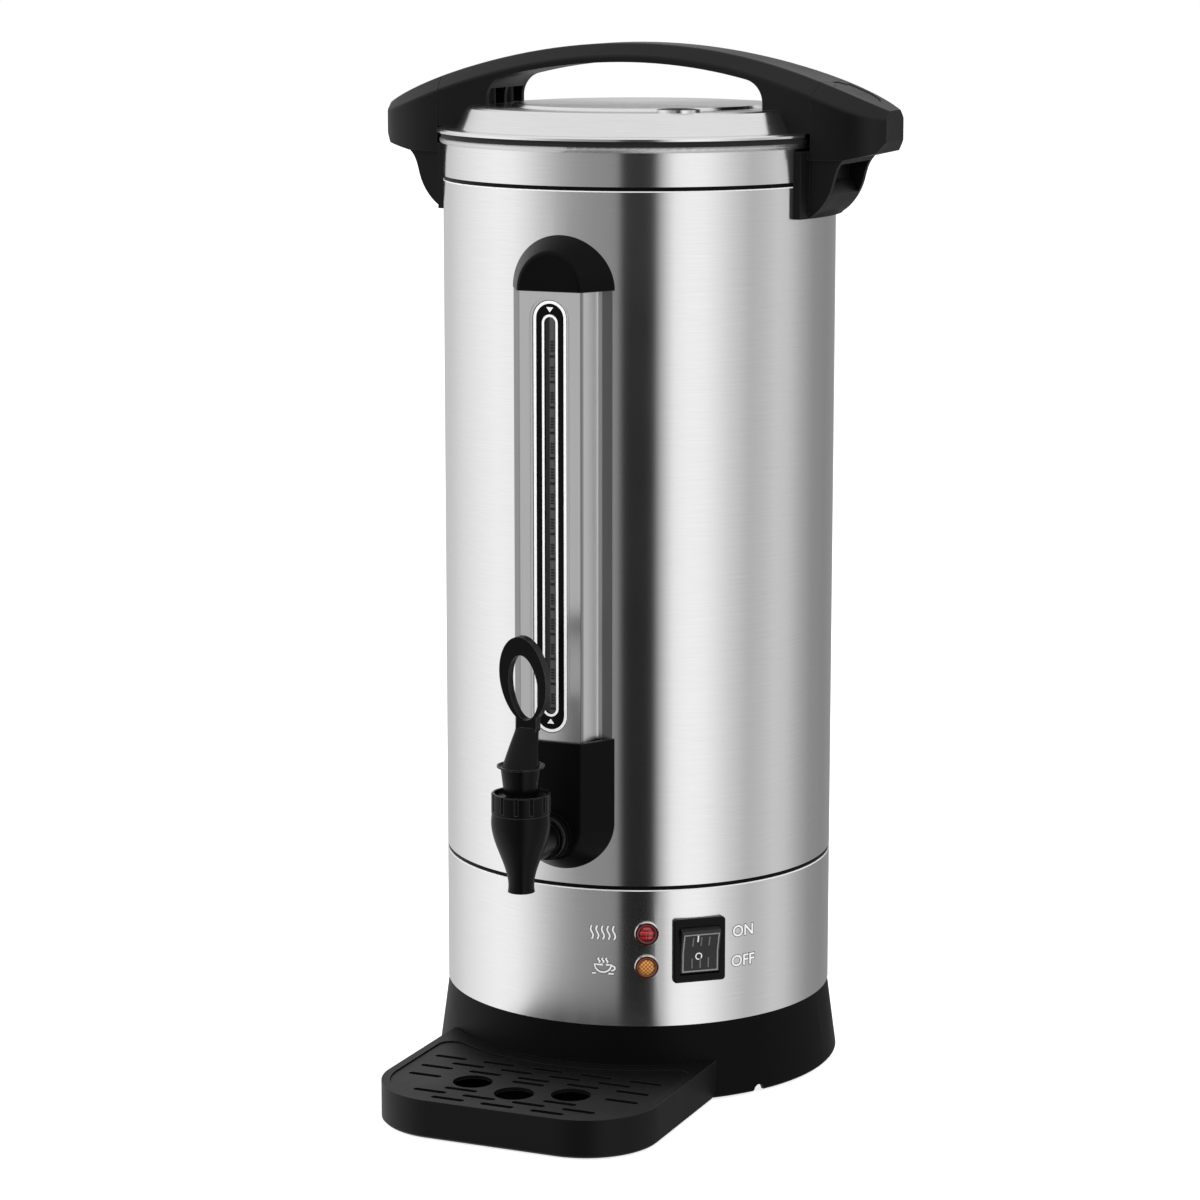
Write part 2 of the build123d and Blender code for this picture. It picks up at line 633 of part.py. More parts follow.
def lid_shell():
    outer, inner = lid_profile(0), lid_profile(SHEET)
    rim_low = FLANGE_Z - 0.4
    shell = turned(outer + [(LID_RIM_R - 0.6, LID_RIM_Z), (LID_RIM_R + 0.6, LID_RIM_Z - 0.8),
                            (LID_RIM_R + 0.6, rim_low), (LID_RIM_R - 0.2, rim_low),
                            (LID_RIM_R - 0.2, LID_RIM_Z - SHEET)] + inner[::-1])
    x, y = lid_vent_place()
    shell += post(VENT_R + SHEET, SHOULDER_Z - SHEET, SHOULDER_Z + 1.6, x, y)
    shell -= post(VENT_R + FIT, SHOULDER_Z, SHOULDER_Z + 4, x, y)
    shell -= post(VENT_R - 2, SHOULDER_Z - 4, SHOULDER_Z + 4, x, y)
    for sx, sy in lid_screw_places():
        shell -= post(SCREW_R + FIT, SHOULDER_Z - 4, SHOULDER_Z + 4, sx, sy)
    return shell


def lid_inner_pan():
    flange = FLANGE_Z
    pan = cup(PAN_R, PAN_FLOOR_Z, flange, 5)
    pan += post(LID_RIM_R - 0.4, flange, flange + SHEET)
    pan -= cup(PAN_R - SHEET, PAN_FLOOR_Z + SHEET, flange + SHEET + 1, 5 - SHEET)
    x, y = lid_vent_place()
    return pan - post(4, PAN_FLOOR_Z - 1, PAN_FLOOR_Z + 2, x, y)


def lid_gasket():
    seat = MOUTH_Z + BEAD_R + RUN
    lip = TANK_LIP_Z + RUN
    inner = PAN_R + RUN
    step = TANK_LIP_R - 1.5
    return turned([(inner, lip), (step, lip), (step, seat), (BODY_R + 1, seat),
                   (BODY_R + 1, FLANGE_Z), (inner, FLANGE_Z)])


def lid_vent():
    x, y = lid_vent_place()
    z = SHOULDER_Z
    plug = turned([(1.5, z - 5), (VENT_R - 2 - FIT, z - 5), (VENT_R - 2 - FIT, z), (VENT_R, z),
                   (VENT_R, z + 1.0), (VENT_R - 2, z + 1.9), (3, z + 1.2), (1.5, z + 0.6)])
    return Pos(x, y, 0) * plug


# ---- Arched handle: the lid's strap and the two side handles are cut from one form ----

def handle_top_z(x):
    return HANDLE_TOP_Z - ARCH_R + sqrt(ARCH_R ** 2 - x ** 2)


def handle_form():
    """The whole arch from tip to tip, with flat sides down to the pads and chamfers along its top."""
    sections = []
    stations = [(-x, w, f, c) for x, w, f, c in reversed(HANDLE_STATIONS[1:])] + list(HANDLE_STATIONS)
    low = PAD_BOTTOM_Z
    for x, half_w, flat, chamfer_h in stations:
        top = handle_top_z(x)
        outline = make_face(Polyline((-half_w, low), (half_w, low), (half_w, top - chamfer_h), (flat, top),
                                     (-flat, top), (-half_w, top - chamfer_h), close=True))
        outline = fillet(outline.vertices().filter_by(lambda v: v.Y > low + 1), EDGE_ROUND)
        sections.append(Plane(origin=(x, 0, 0), x_dir=(0, 1, 0), z_dir=(1, 0, 0)) * outline)
    return loft(sections)


HANDLE_FORM = handle_form()


def arch_opening():
    """Space under the strap, with rounded upper corners."""
    spring_z = HANDLE_TOP_Z - STRAP - ARCH_UNDER_R + sqrt(ARCH_UNDER_R ** 2 - LEG_X ** 2)
    low = PAD_BOTTOM_Z
    outline = Polyline((LEG_X, 0, spring_z), (LEG_X, 0, low), (-LEG_X, 0, low), (-LEG_X, 0, spring_z))
    outline += ThreePointArc((-LEG_X, 0, spring_z), (0, 0, HANDLE_TOP_Z - STRAP), (LEG_X, 0, spring_z))
    opening = extrude(make_face(outline), amount=60, dir=(0, 1, 0), both=True)
    corners = opening.edges().filter_by(Axis.Y).group_by(Axis.Z)[-1]
    return fillet(corners, LEG_ROUND)


def lid_screw_places():
    return [(sx * LID_SCREW_X, sy * LID_SCREW_Y) for sx in (-1, 1) for sy in (-1, 1)]


def leg_pocket(side):
    """Hollow of a lid handle's leg, open inwards and down, with a rib and two screw bosses left in it."""
    leg_half_w = HANDLE_STATIONS[3][1]
    x0, x1 = sorted((side * (LEG_X - 12), side * (SEAM_R - 8)))
    inner = leg_half_w - 4
    pocket = box(x0, x1, -inner, inner, LID_RIM_Z - 9, SHOULDER_Z + 9)
    pocket -= box(x0, x1, -1.5, 1.5, LID_RIM_Z - 9, SHOULDER_Z + 9)
    for sx, sy in lid_screw_places():
        pocket -= post(4.5, LID_RIM_Z - 9, SHOULDER_Z + 10, sx, sy)
    return pocket


def lid_handle():
    strap = HANDLE_FORM & post(SEAM_R, PAD_BOTTOM_Z, HANDLE_TOP_Z + 5)
    strap -= arch_opening()
    low = PAD_BOTTOM_Z - 5
    strap -= turned([(0, low)] + [(r, z + FIT) for r, z in lid_profile(0)]
                    + [(SEAM_R + 2, LID_RIM_Z + FIT), (SEAM_R + 2, low)])
    for side in (-1, 1):
        strap -= leg_pocket(side)
    for x, y in lid_screw_places():
        strap -= post(SCREW_R + RUN, LID_RIM_Z, SHOULDER_Z + 8, x, y)
    return strap


def lid_handle_screws():
    z = SHOULDER_Z - SHEET
    return group(post(3.8, z - 2.2, z, x, y) + post(SCREW_R, z, z + 7, x, y) for x, y in lid_screw_places())


def side_handle(side):
    """Fixed end of the arch: outer block, pad against the body and grip bracket below the block."""
    far = HALF_SPAN + 5
    seat_r = BODY_R + FIT
    near = BODY_R - 30
    foot = PAD_BOTTOM_Z
    under = [(near, foot - 5), (near, TIP_BOTTOM_Z - 10.5), (HALF_SPAN - 20, TIP_BOTTOM_Z - 9.5),
             (HALF_SPAN - 4, TIP_BOTTOM_Z - 6), (HALF_SPAN, TIP_BOTTOM_Z), (far, TIP_BOTTOM_Z),
             (far, foot - 5)]
    block = HANDLE_FORM & box(near, far, -60, 60, foot, HANDLE_TOP_Z)
    block -= prism_y(under, -60, 60)
    start, half_w, depth = INSET
    inset = box(SEAM_R + start, SEAM_R + start + INSET_L - half_w, -half_w, half_w, foot, HANDLE_TOP_Z)
    inset += post(half_w, foot, HANDLE_TOP_Z, SEAM_R + start + INSET_L - half_w)
    block -= inset - Pos(0, 0, -depth) * HANDLE_FORM
    line = [(BODY_R + out, 0, foot + up) for out, up in BRACKET_LINE]
    top, inner_x = line[0][2], BODY_R - 10
    web = make_face(Spline(*line) + Polyline(line[-1], (inner_x, 0, foot), (inner_x, 0, top), line[0]))
    bracket = extrude(web, amount=BRACKET_HALF_W, dir=(0, 1, 0), both=True)
    grip = BRACKET_HALF_W - BRACKET_WEB
    pocket_x = seat_r + PAD + 1.5
    pocket = [(pocket_x, TIP_BOTTOM_Z - 12), (HALF_SPAN - 10, TIP_BOTTOM_Z - 12), (HALF_SPAN - 10, foot + 14),
              (BODY_R + 11, foot + 12), (pocket_x, foot + 20)]
    bracket -= prism_y(pocket, -grip, grip)
    pad = ring(seat_r + PAD, seat_r - 1, foot, PAD_TOP_Z)
    pad &= box(BODY_R / 2, far, -PAD_HALF_W, PAD_HALF_W, foot, PAD_TOP_Z)
    handle = block + bracket + pad
    handle -= post(seat_r, PAD_BOTTOM_Z - 1, PAD_TOP_Z + 1)
    handle -= post(SEAM_R + FREE, PAD_TOP_Z, HANDLE_TOP_Z + 5)
    for z in SIDE_SCREW_Z:
        handle -= rod_x(SCREW_R + RUN, inner_x, seat_r + PAD + 0.5, 0, z)
    return handle if side > 0 else mirror(handle, about=Plane.YZ)


def side_handle_right():
    return side_handle(1)


def side_handle_left():
    return side_handle(-1)


def side_handle_screws():
    screws = []
    for side in (-1, 1):
        for z in SIDE_SCREW_Z:
            head = rod_x(3.5, INNER_R - 2.4, INNER_R - 0.3, 0, z)
            screw = head + rod_x(SCREW_R, INNER_R - 0.3, BODY_R + PAD - 0.5, 0, z)
            screws.append(screw if side > 0 else mirror(screw, about=Plane.YZ))
    return group(screws)


# ---- Level gauge ----

def gauge_cover():
    root = BODY_R - 8
    front = [(-GAUGE_HALF_W, -GAUGE_FRONT), (GAUGE_HALF_W, -GAUGE_FRONT),
             (GAUGE_ROOT_HALF_W, -root), (-GAUGE_ROOT_HALF_W, -root)]
    t = SHEET
    inside = [(-GAUGE_HALF_W + t, -GAUGE_FRONT + t), (GAUGE_HALF_W - t, -GAUGE_FRONT + t),
              (GAUGE_ROOT_HALF_W - t, -root), (-GAUGE_ROOT_HALF_W + t, -root)]
    cover = prism_z(front, GAUGE_BOTTOM_Z, GAUGE_TOP_Z) - prism_z(inside, GAUGE_BOTTOM_Z - 1, GAUGE_TOP_Z + 1)
    flange = ring(BODY_R + FIT + t, BODY_R + FIT, GAUGE_BOTTOM_Z, GAUGE_TOP_Z)
    front_y, back_y = -GAUGE_FRONT - 5, -BODY_R + 20
    low, high = GAUGE_BOTTOM_Z - 1, GAUGE_TOP_Z + 1
    flange &= box(-GAUGE_FLANGE_HALF_W, GAUGE_FLANGE_HALF_W, front_y, back_y, low, high)
    flange -= box(-GAUGE_ROOT_HALF_W + 1.5, GAUGE_ROOT_HALF_W - 1.5, front_y, back_y, low, high)
    cover += flange
    cover -= post(BODY_R + FIT, low, high)
    reach = RECESS_BEYOND
    edge = WINDOW_W + 2 * reach
    low, high = WINDOW_Z
    groove = stadium_y(edge, low - reach, high + reach, front_y, -GAUGE_FRONT + 0.3)
    groove -= stadium_y(edge - 1.2, low - reach + 0.6, high + reach - 0.6, front_y - 1, -GAUGE_FRONT + 1)
    cover -= groove
    return cover - stadium_y(WINDOW_W + 2 * FIT, low - FIT, high + FIT, front_y, -BODY_R)


def gauge_frame():
    low, high = WINDOW_Z
    back = GAUGE_FRONT - SHEET
    frame = stadium_y(WINDOW_W, low, high, -GAUGE_FRONT + 0.3, -back)
    frame += stadium_y(WINDOW_W + 3, low - 1.5, high + 1.5, -back + FIT / 2, -back + 1.1)
    frame += stadium_y(WINDOW_W, low, high, -back, -back + FIT)
    return frame - stadium_y(SLOT_W, SLOT_Z[0], SLOT_Z[1], -GAUGE_FRONT - 5, -BODY_R)


def gauge_lens():
    back = GAUGE_FRONT - SHEET
    return stadium_y(SLOT_W - FIT, SLOT_Z[0] + FIT / 2, SLOT_Z[1] - FIT / 2, -GAUGE_FRONT + 0.5, -back + 0.9)


def sight_tube():
    z0, z1 = SHANK_Z + 11.5, ELBOW_Z - 6
    return ring(TUBE_R, TUBE_R - TUBE_WALL, z0, z1, 0, -TUBE_DIST)


def shank_tee():
    top = SHANK_Z + 16
    tee = box(-11, 11, -FITTING_FRONT, -BODY_R - 1, SHANK_Z, top)
    tee += rod_y(SHANK_R + 2.4, -BODY_R - 8, -BODY_R - 1, 0, SHANK_Z)
    tee += box(-8, 8, -FITTING_FRONT, -BODY_R - 1, top, top + 4)
    tee -= rod_y(SHANK_R + RUN, -CAP_FRONT - 5, -BODY_R + 10, 0, SHANK_Z)
    tee -= post(TUBE_R + RUN, SHANK_Z + 11, top + 5, 0, -TUBE_DIST)
    return tee - post(3, SHANK_Z, SHANK_Z + 12, 0, -TUBE_DIST)


def gauge_elbow():
    low = ELBOW_Z - 10
    elbow = box(-8, 8, -FITTING_FRONT, -BODY_R - 1, low, ELBOW_Z + 5)
    elbow += rod_y(PORT_R, -BODY_R - 1, -TANK_R + 2, 0, ELBOW_Z)
    elbow -= post(TUBE_R + RUN, low - 1, ELBOW_Z - 5.5, 0, -TUBE_DIST)
    elbow -= post(2.5, ELBOW_Z - 6, ELBOW_Z, 0, -TUBE_DIST)
    return elbow - rod_y(2.5, -TUBE_DIST, -TANK_R + 3, 0, ELBOW_Z)


def gauge_seals():
    top = SHANK_Z + 20
    low = ELBOW_Z - 10
    seals = []
    for z0, z1 in ((top, top + 2.5), (low - 2.5, low)):
        seals.append(ring(TUBE_R + 1.8, TUBE_R + RUN, z0, z1, 0, -TUBE_DIST))
    return group(seals)


def arch_section(half_w, height, distance, base_z):
    """Half-ellipse standing on a straight foot, in the plane at a distance from the axis."""
    outline = EllipticalCenterArc((0, 0), half_w, height, start_angle=0, arc_size=180)
    outline += Line((-half_w, 0), (half_w, 0))
    plane = Plane(origin=(0, -distance, base_z), x_dir=(1, 0, 0), z_dir=(0, -1, 0))
    return plane * make_face(outline)


def gauge_top_cap():
    dome = loft([arch_section(CAP_REAR_HALF_W, TOP_CAP_H, CAP_REAR, GAUGE_TOP_Z),
                 arch_section(CAP_HALF_W, TOP_CAP_FRONT_H, CAP_FRONT, GAUGE_TOP_Z)])
    foremost = dome.edges().filter_by(lambda e: e.center().Y < -CAP_FRONT + 0.1)
    dome = fillet(foremost.filter_by(lambda e: e.center().Z > GAUGE_TOP_Z + 1), 3.0)
    t = CAP_WALL
    hollow = loft([arch_section(CAP_REAR_HALF_W - t, TOP_CAP_H - t, CAP_REAR - 1, GAUGE_TOP_Z - 0.01),
                   arch_section(CAP_HALF_W - t, TOP_CAP_FRONT_H - t, CAP_FRONT - t, GAUGE_TOP_Z - 0.01)])
    return dome - hollow - post(BODY_R + FIT, GAUGE_TOP_Z - 1, GAUGE_TOP_Z + TOP_CAP_H + 1)


def cap_section(half_w, distance, top_z):
    """Outline with straight sides and a round foot, in the plane at a distance from the axis."""
    low = SHANK_Z + 5.3
    outline = Polyline((half_w, low), (half_w, top_z), (-half_w, top_z), (-half_w, low))
    outline += CenterArc((0, low), half_w, 180, 180)
    plane = Plane(origin=(0, -distance, 0), x_dir=(1, 0, 0), z_dir=(0, -1, 0))
    return plane * make_face(outline)


def gauge_bottom_cap():
    top = GAUGE_BOTTOM_Z
    cap = loft([cap_section(CAP_REAR_HALF_W, CAP_REAR, top), cap_section(CAP_HALF_W, CAP_FRONT, top)])
    front = cap.edges().filter_by(lambda e: e.center().Y < -CAP_FRONT + 0.1 and e.center().Z < top - 1)
    cap = fillet(front, 3.0)
    t = CAP_WALL
    cap -= loft([cap_section(CAP_REAR_HALF_W - t, CAP_REAR - 1, top + 1),
                 cap_section(CAP_HALF_W - t, CAP_FRONT - t, top + 1)])
    cap += rod_y(BOSS_RING_R, -BOSS_RING_DIST, -CAP_FRONT + t, 0, SHANK_Z)
    cap -= rod_y(SHANK_R + FIT, -BOSS_RING_DIST - 5, -BODY_R + 10, 0, SHANK_Z)
    return cap - post(BODY_R + FIT, SHANK_Z - 2 * CAP_REAR_HALF_W, top + 1)


# ---- Tap ----

def tap_place(solid):
    return Pos(0, -TAP_DIST, 0) * solid


def tap_body():
    foot, top = (NOZZLE_R, 0, NOZZLE_Z), (BULB_R, 0, BONNET_Z)
    skin = Spline(foot, *[(r, 0, NOZZLE_Z + h) for r, h in BULB_LINE], top)
    outline = skin + Polyline(top, (0, 0, BONNET_Z), (0, 0, NOZZLE_Z), foot)
    bulb = tap_place(revolve(make_face(outline), Axis.Z))
    flange_front = -BOSS_RING_DIST - 2
    shank = rod_y(SHANK_R, -TAP_DIST + 8, -SHANK_END, 0, SHANK_Z)
    neck = rod_y(9.6, -TAP_DIST + 8, flange_front, 0, SHANK_Z)
    flange = rod_y(BOSS_RING_R - 1, flange_front - 1.5, -BOSS_RING_DIST - 2, 0, SHANK_Z)
    body = bulb + shank + neck + flange
    body -= tap_place(post(CHAMBER_R, SEAT_Z, BONNET_Z - 9) + post(BULB_R - 3, BONNET_Z - 9, BONNET_Z + 1))
    body -= tap_place(post(NOZZLE_BORE_R, NOZZLE_Z - 1, SEAT_Z + 1))
    body -= rod_y(SHANK_BORE_R, -TAP_DIST, -SHANK_END + 1, 0, SHANK_Z)
    return body - post(3, SHANK_Z, SHANK_Z + 12, 0, -TUBE_DIST)


def tap_bonnet():
    top = BONNET_Z + BONNET_H
    floor = BONNET_FLOOR_Z
    bonnet = turned([(BULB_R - 3 - FIT, BONNET_Z - 7), (BULB_R - 3 - FIT, BONNET_Z), (BONNET_R, BONNET_Z),
                     (BONNET_R, top - 0.5), (BONNET_R - 0.5, top), (BONNET_R - BONNET_RIM, top),
                     (BONNET_R - BONNET_RIM - 0.4, floor), (0, floor), (0, floor - BONNET_FLOOR),
                     (BULB_R - 6, floor - BONNET_FLOOR), (BULB_R - 6, BONNET_Z - 7)])
    for i in range(KNURLS):
        flute = Pos(BONNET_R + 0.2, 0, BONNET_Z + 1.6) * Cylinder(1.0, BONNET_H, align=ON_FLOOR)
        bonnet -= Rot(0, 0, (i + 0.5) * 360 / KNURLS) * flute
    return tap_place(bonnet - post(STEM_R + RUN, BONNET_Z, top + 1))


def seat_cup_top_z():
    return SEAT_Z + RUN + 8


def tap_seat_cup():
    z = SEAT_Z + RUN
    top = seat_cup_top_z()
    cup_body = turned([(0, z), (6.6, z), (7.6, z + 1.5), (7.6, top - 2), (6.4, top),
                       (STEM_R, top), (STEM_R, top - 4), (0, top - 4)])
    return tap_place(cup_body)


def tap_stem():
    z0 = seat_cup_top_z() - 4
    collar = seat_cup_top_z()
    stem = post(STEM_R, z0, PIN_Z + STEM_ABOVE_PIN) + post(5.4, collar, collar + 1.5)
    return tap_place(stem - rod_x(PIN_R, -6, 6, 0, PIN_Z))


def tap_spring():
    z0 = seat_cup_top_z() + 1.5
    z1 = BONNET_FLOOR_Z - BONNET_FLOOR
    wire = 0.45
    turns = 6
    height = z1 - z0 - 2 * wire - 0.1
    coil = Helix(pitch=height / turns, height=height, radius=4.4)
    spring = sweep(Plane(origin=coil @ 0, z_dir=coil % 0) * Circle(wire), path=coil, is_frenet=True)
    return tap_place(Pos(0, 0, z0 + wire + 0.05) * spring)


def lever_pin():
    return tap_place(rod_x(PIN_R, -CUP_BOTTOM_R - 0.4, CUP_BOTTOM_R + 0.4, 0, PIN_Z))


def lever_side(offset):
    """Line of the lever's blade in side view, moved along Y."""
    return [(0, y + offset, CUP_FLANGE_Z + h) for y, h in LEVER_LINE]


def across(sketch, reach=40):
    """Front view drawn out along Y, through the lever."""
    return extrude(Plane.XZ * sketch, amount=reach, both=True)


def tap_lever():
    z = CUP_BOTTOM_Z
    flange = CUP_FLANGE_Z
    neck_y, neck_h = LEVER_LINE[0]
    neck_z = flange + neck_h
    cup_body = turned([(0, z), (CUP_BOTTOM_R - 1.2, z), (CUP_BOTTOM_R, z + 1.2),
                       (CUP_TOP_R, flange - 1.5), (CUP_FLANGE_R, flange - 0.8), (CUP_FLANGE_R, flange),
                       (CUP_FLANGE_R - 1, flange), (CUP_FLANGE_R - 2, flange - 0.8), (0, flange - 0.8)])
    bell = loft([Pos(0, 0, flange - 1.2) * Circle(CUP_FLANGE_R - 2.8),
                 Pos(0, neck_y * 0.36, flange + 8) * Ellipse(8.4, 6.2),
                 Pos(0, neck_y, neck_z + 2) * Ellipse(6.4, LEVER_THICK / 2 + 0.3)])
    half = LEVER_THICK / 2
    front, back = lever_side(-half), lever_side(half)
    side = Spline(*front) + Line(front[-1], back[-1]) + Spline(*back[::-1]) + Line(back[0], front[0])
    blade = extrude(make_face(side), amount=LOOP_HALF_W + 2, dir=(1, 0, 0), both=True)
    loop = across(Pos(0, LOOP_TOP_Z - LOOP_HALF_H) * Ellipse(LOOP_HALF_W, LOOP_HALF_H))
    stalk = across(Pos(0, neck_z + 2) * Rectangle(11.8, 12))
    lever = cup_body + bell + (blade & (loop + stalk))
    lever -= across(Pos(0, HOLE_Z) * Ellipse(HOLE_HALF_W, HOLE_HALF_H))
    tilt = radians(LEVER_THROW)
    stem_back = STEM_R * cos(tilt) + STEM_ABOVE_PIN * sin(tilt) + FREE
    lever -= box(-STEM_R - FREE, STEM_R + FREE, -CUP_BOTTOM_R + 0.9, stem_back, z - 1, PIN_Z + 6)
    lever -= rod_x(PIN_R + RUN, -16, 16, 0, PIN_Z)
    return tap_place(lever)


def tap_washers():
    inside = -TANK_R + 1.0
    return group([ring_y(SHANK_R + 5, SHANK_R + FIT, inside, inside + 2.5),
                  ring_y(BOSS_RING_R - 1, SHANK_R + FIT, -BOSS_RING_DIST - 2, -BOSS_RING_DIST)])


def ring_y(outer, inner, y0, y1):
    """Ring on the shank's axis."""
    return rod_y(outer, y0, y1, 0, SHANK_Z) - rod_y(inner, y0 - 1, y1 + 1, 0, SHANK_Z)


def tap_shank_nut():
    y0 = -TANK_R + 3.5
    hexagon = extrude(RegularPolygon(12, 6, major_radius=False), amount=6)
    return Pos(0, y0, SHANK_Z) * Rot(-90, 0, 0) * hexagon - rod_y(SHANK_R + RUN, y0 - 1, y0 + 7, 0, SHANK_Z)


# ---- Controls ----

def lamp_bezels():
    outside = post(BODY_R + RUN, 0, LOWER_GROOVE_Z)
    bezels = []
    for z in LAMP_Z:
        ring_body = ring(LAMP_BEZEL_R, LAMP_R + FIT / 2, -1, 1.8)
        edge = ring_body.edges().filter_by(GeomType.CIRCLE).group_by(Axis.Z)[-1].sort_by(SortBy.RADIUS)[-1]
        ring_body = fillet(edge, 1.0)
        bezels.append(facing(LAMP_AZIMUTH, z).location * ring_body - outside)
    return group(bezels)


def lamp_lens(z):
    lens = post(LAMP_R, -1.0, 2.6)
    lens = fillet(lens.edges().filter_by(GeomType.CIRCLE).sort_by(Axis.Z)[-1], 1.2)
    return facing(LAMP_AZIMUTH, z).location * lens


def heating_lamp_lens():
    return lamp_lens(LAMP_Z[0])


def warm_lamp_lens():
    return lamp_lens(LAMP_Z[1])


def lamp_bodies():
    bodies = []
    for z in LAMP_Z:
        barrel = post(LAMP_R - 0.1, -20, -1.0) + ring(6.6, 4, -4.0, -1.6)
        for x in (-2, 2):
            barrel += post(0.7, -26, -20, x, 0)
        bodies.append(facing(LAMP_AZIMUTH, z).location * barrel)
    return group(bodies)


def switch_housing():
    w, h, thick = BEZEL
    bw, bh, depth = SWITCH_BODY
    bezel = Pos(0, 0, thick / 2 - 1.5) * Box(w, h, thick + 3)
    bezel = fillet(bezel.edges().filter_by(Axis.Z), 2.0)
    bezel = chamfer(bezel.edges().group_by(Axis.Z)[-1], 0.8)
    bezel = facing(SWITCH_AZIMUTH, SWITCH_Z).location * bezel - post(BODY_R + RUN, 0, LOWER_GROOVE_Z)
    body = box(-bw / 2, bw / 2, -bh / 2, bh / 2, -depth, 0.2)
    cavity = box(-bw / 2 + SWITCH_WALL, bw / 2 - SWITCH_WALL, -bh / 2 + SWITCH_WALL, bh / 2 - SWITCH_WALL,
                 -8.5, thick + 2)
    trunnions = rod_x(PIN_R + RUN, -bw / 2 + 0.5, bw / 2 - 0.5, 0, ROCKER_AXIS)
    place = facing(SWITCH_AZIMUTH, SWITCH_Z).location
    return (bezel + place * body) - place * (cavity + trunnions)


def switch_rocker():
    bw, bh, _ = SWITCH_BODY
    half_w = bw / 2 - SWITCH_WALL - 0.3
    reach = bh / 2 - SWITCH_WALL - 0.3
    end_y = reach - 1.0
    low = -4.0
    rim = 4.2
    side = [(-end_y, low), (end_y, low), (reach, 0), (reach - 0.6, rim - ROCKER_AXIS - 1),
            (end_y - 0.6, rim - ROCKER_AXIS),
            (0, rim - ROCKER_AXIS - 1.5), (-end_y + 0.6, rim - ROCKER_AXIS),
            (-reach + 0.6, rim - ROCKER_AXIS - 1), (-reach, 0)]
    rocker = prism_x(side, -half_w, half_w)
    rocker += rod_x(PIN_R, -bw / 2 + 0.8, bw / 2 - 0.8, 0, 0)
    return (facing(SWITCH_AZIMUTH, SWITCH_Z).location * Pos(0, 0, ROCKER_AXIS)
            * Rot(ROCKER_THROW, 0, 0) * rocker)


def switch_terminals():
    depth = SWITCH_BODY[2]
    place = facing(SWITCH_AZIMUTH, SWITCH_Z).location
    return group(place * box(x - 3.15, x + 3.15, y - 0.4, y + 0.4, -depth - SWITCH_TAB, -depth)
                 for x in (-6.5, 6.5) for y in (-8, 8))


def power_inlet():
    w, h, depth = INLET
    flange = Box(w + 2 * INLET_FLANGE, h + 2 * INLET_FLANGE, 5)
    flange = fillet(flange.edges().filter_by(Axis.Z), 2.5)
    place = facing(180, INLET_Z).location
    flange = place * flange - post(BODY_R + RUN, 0, LOWER_GROOVE_Z)
    half_w, half_h = w / 2 + INLET_WALL, h / 2 + INLET_WALL
    body = box(-half_w, half_w, -half_h, half_h, -depth - 4, RUN)
    socket = prism_z([(-w / 2, -h / 2), (w / 2, -h / 2), (w / 2, h / 2 - 4), (w / 2 - 4, h / 2),
                      (-w / 2 + 4, h / 2), (-w / 2, h / 2 - 4)], -depth, 5)
    inlet = flange + place * body
    inlet -= place * socket
    for x, y in INLET_PINS:
        inlet -= place * box(x - 2 - RUN, x + 2 + RUN, y - 1 - RUN, y + 1 + RUN, -depth - 5, -depth + 1)
    return inlet


def inlet_pins():
    depth = INLET[2]
    place = facing(180, INLET_Z).location
    back = -depth - INLET_PIN_BACK
    return group(place * box(x - 2, x + 2, y - 1, y + 1, back, -6.0) for x, y in INLET_PINS)


# ---- Drip tray ----

def tray_outline(inset, z0, z1):
    """Tray's outline: straight sides, round front corners, hollowed back that follows the skirt."""
    w = TRAY_HALF_W - inset
    front = TRAY_FRONT - inset
    corner = TRAY_CORNER - inset
    solid = box(-w, w, -front, -BODY_R / 2, z0, z1)
    corners = solid.edges().filter_by(Axis.Z).filter_by(lambda e: e.center().Y < -BODY_R)
    return fillet(corners, corner)


def grille_outline(inset, z0, z1):
    """Form inside the tray's rim, hollowed along the back shelf, with its two rear corners rounded."""
    back = skirt_r(TRAY_Z[0]) + FREE + TRAY_BACK_SHELF + inset
    solid = tray_outline(TRAY_RIM + inset, z0, z1) - post(back, z0 - 1, z1 + 1)
    return fillet(solid.edges().filter_by(Axis.Z).sort_by(Axis.Y)[-2:], GRILLE_CORNER - inset)


def drip_tray():
    z0, z1 = TRAY_Z
    top_seat = GRILLE_TOP_Z - GRILLE
    back = skirt_r(z0) + FREE
    tray = tray_outline(0, z0, z1)
    rim = tray.faces().sort_by(Axis.Z)[0].outer_wire().edges()
    low_edge = rim.filter_by(lambda e: e.center().Y < -BODY_R / 2 - 2)
    tray = chamfer(low_edge, 1.2)
    tray -= grille_outline(GRILLE_SEAT, z0 + TRAY_WALL, z1 + 1)
    tray -= grille_outline(0, top_seat, z1 + 1)
    tray -= turned([(0, -1), (skirt_r(-1) + FREE, -1), (skirt_r(z1 + 1) + FREE, z1 + 1), (0, z1 + 1)])
    tray -= box(-TRAY_HALF_W - 1, TRAY_HALF_W + 1, -TRAY_ARM_END, 0, -1, z1 + 1)
    for side in (-1, 1):
        x = side * TONGUE_X
        y = -sqrt(back ** 2 - TONGUE_X ** 2)
        tray += box(x - TONGUE_W / 2, x + TONGUE_W / 2, y - 5, y + TONGUE_L, *TONGUE_Z)
    return tray


def drip_grille():
    z1 = GRILLE_TOP_Z
    z0 = z1 - GRILLE
    plate = grille_outline(FREE, z0, z1)
    for x, distance in HOLES:
        plate -= post(HOLE_R, z0 - 1, z1 + 1, x, distance - TRAY_FRONT)
    length, width = DASH
    for distance, places in DASH_ROWS:
        for place in places:
            dash = extrude(SlotOverall(length, width), amount=GRILLE + 2)
            plate -= Pos(place * DASH_PITCH, distance - TRAY_FRONT, z0 - 1) * dash
    return plate


# ---- Brewing parts ----

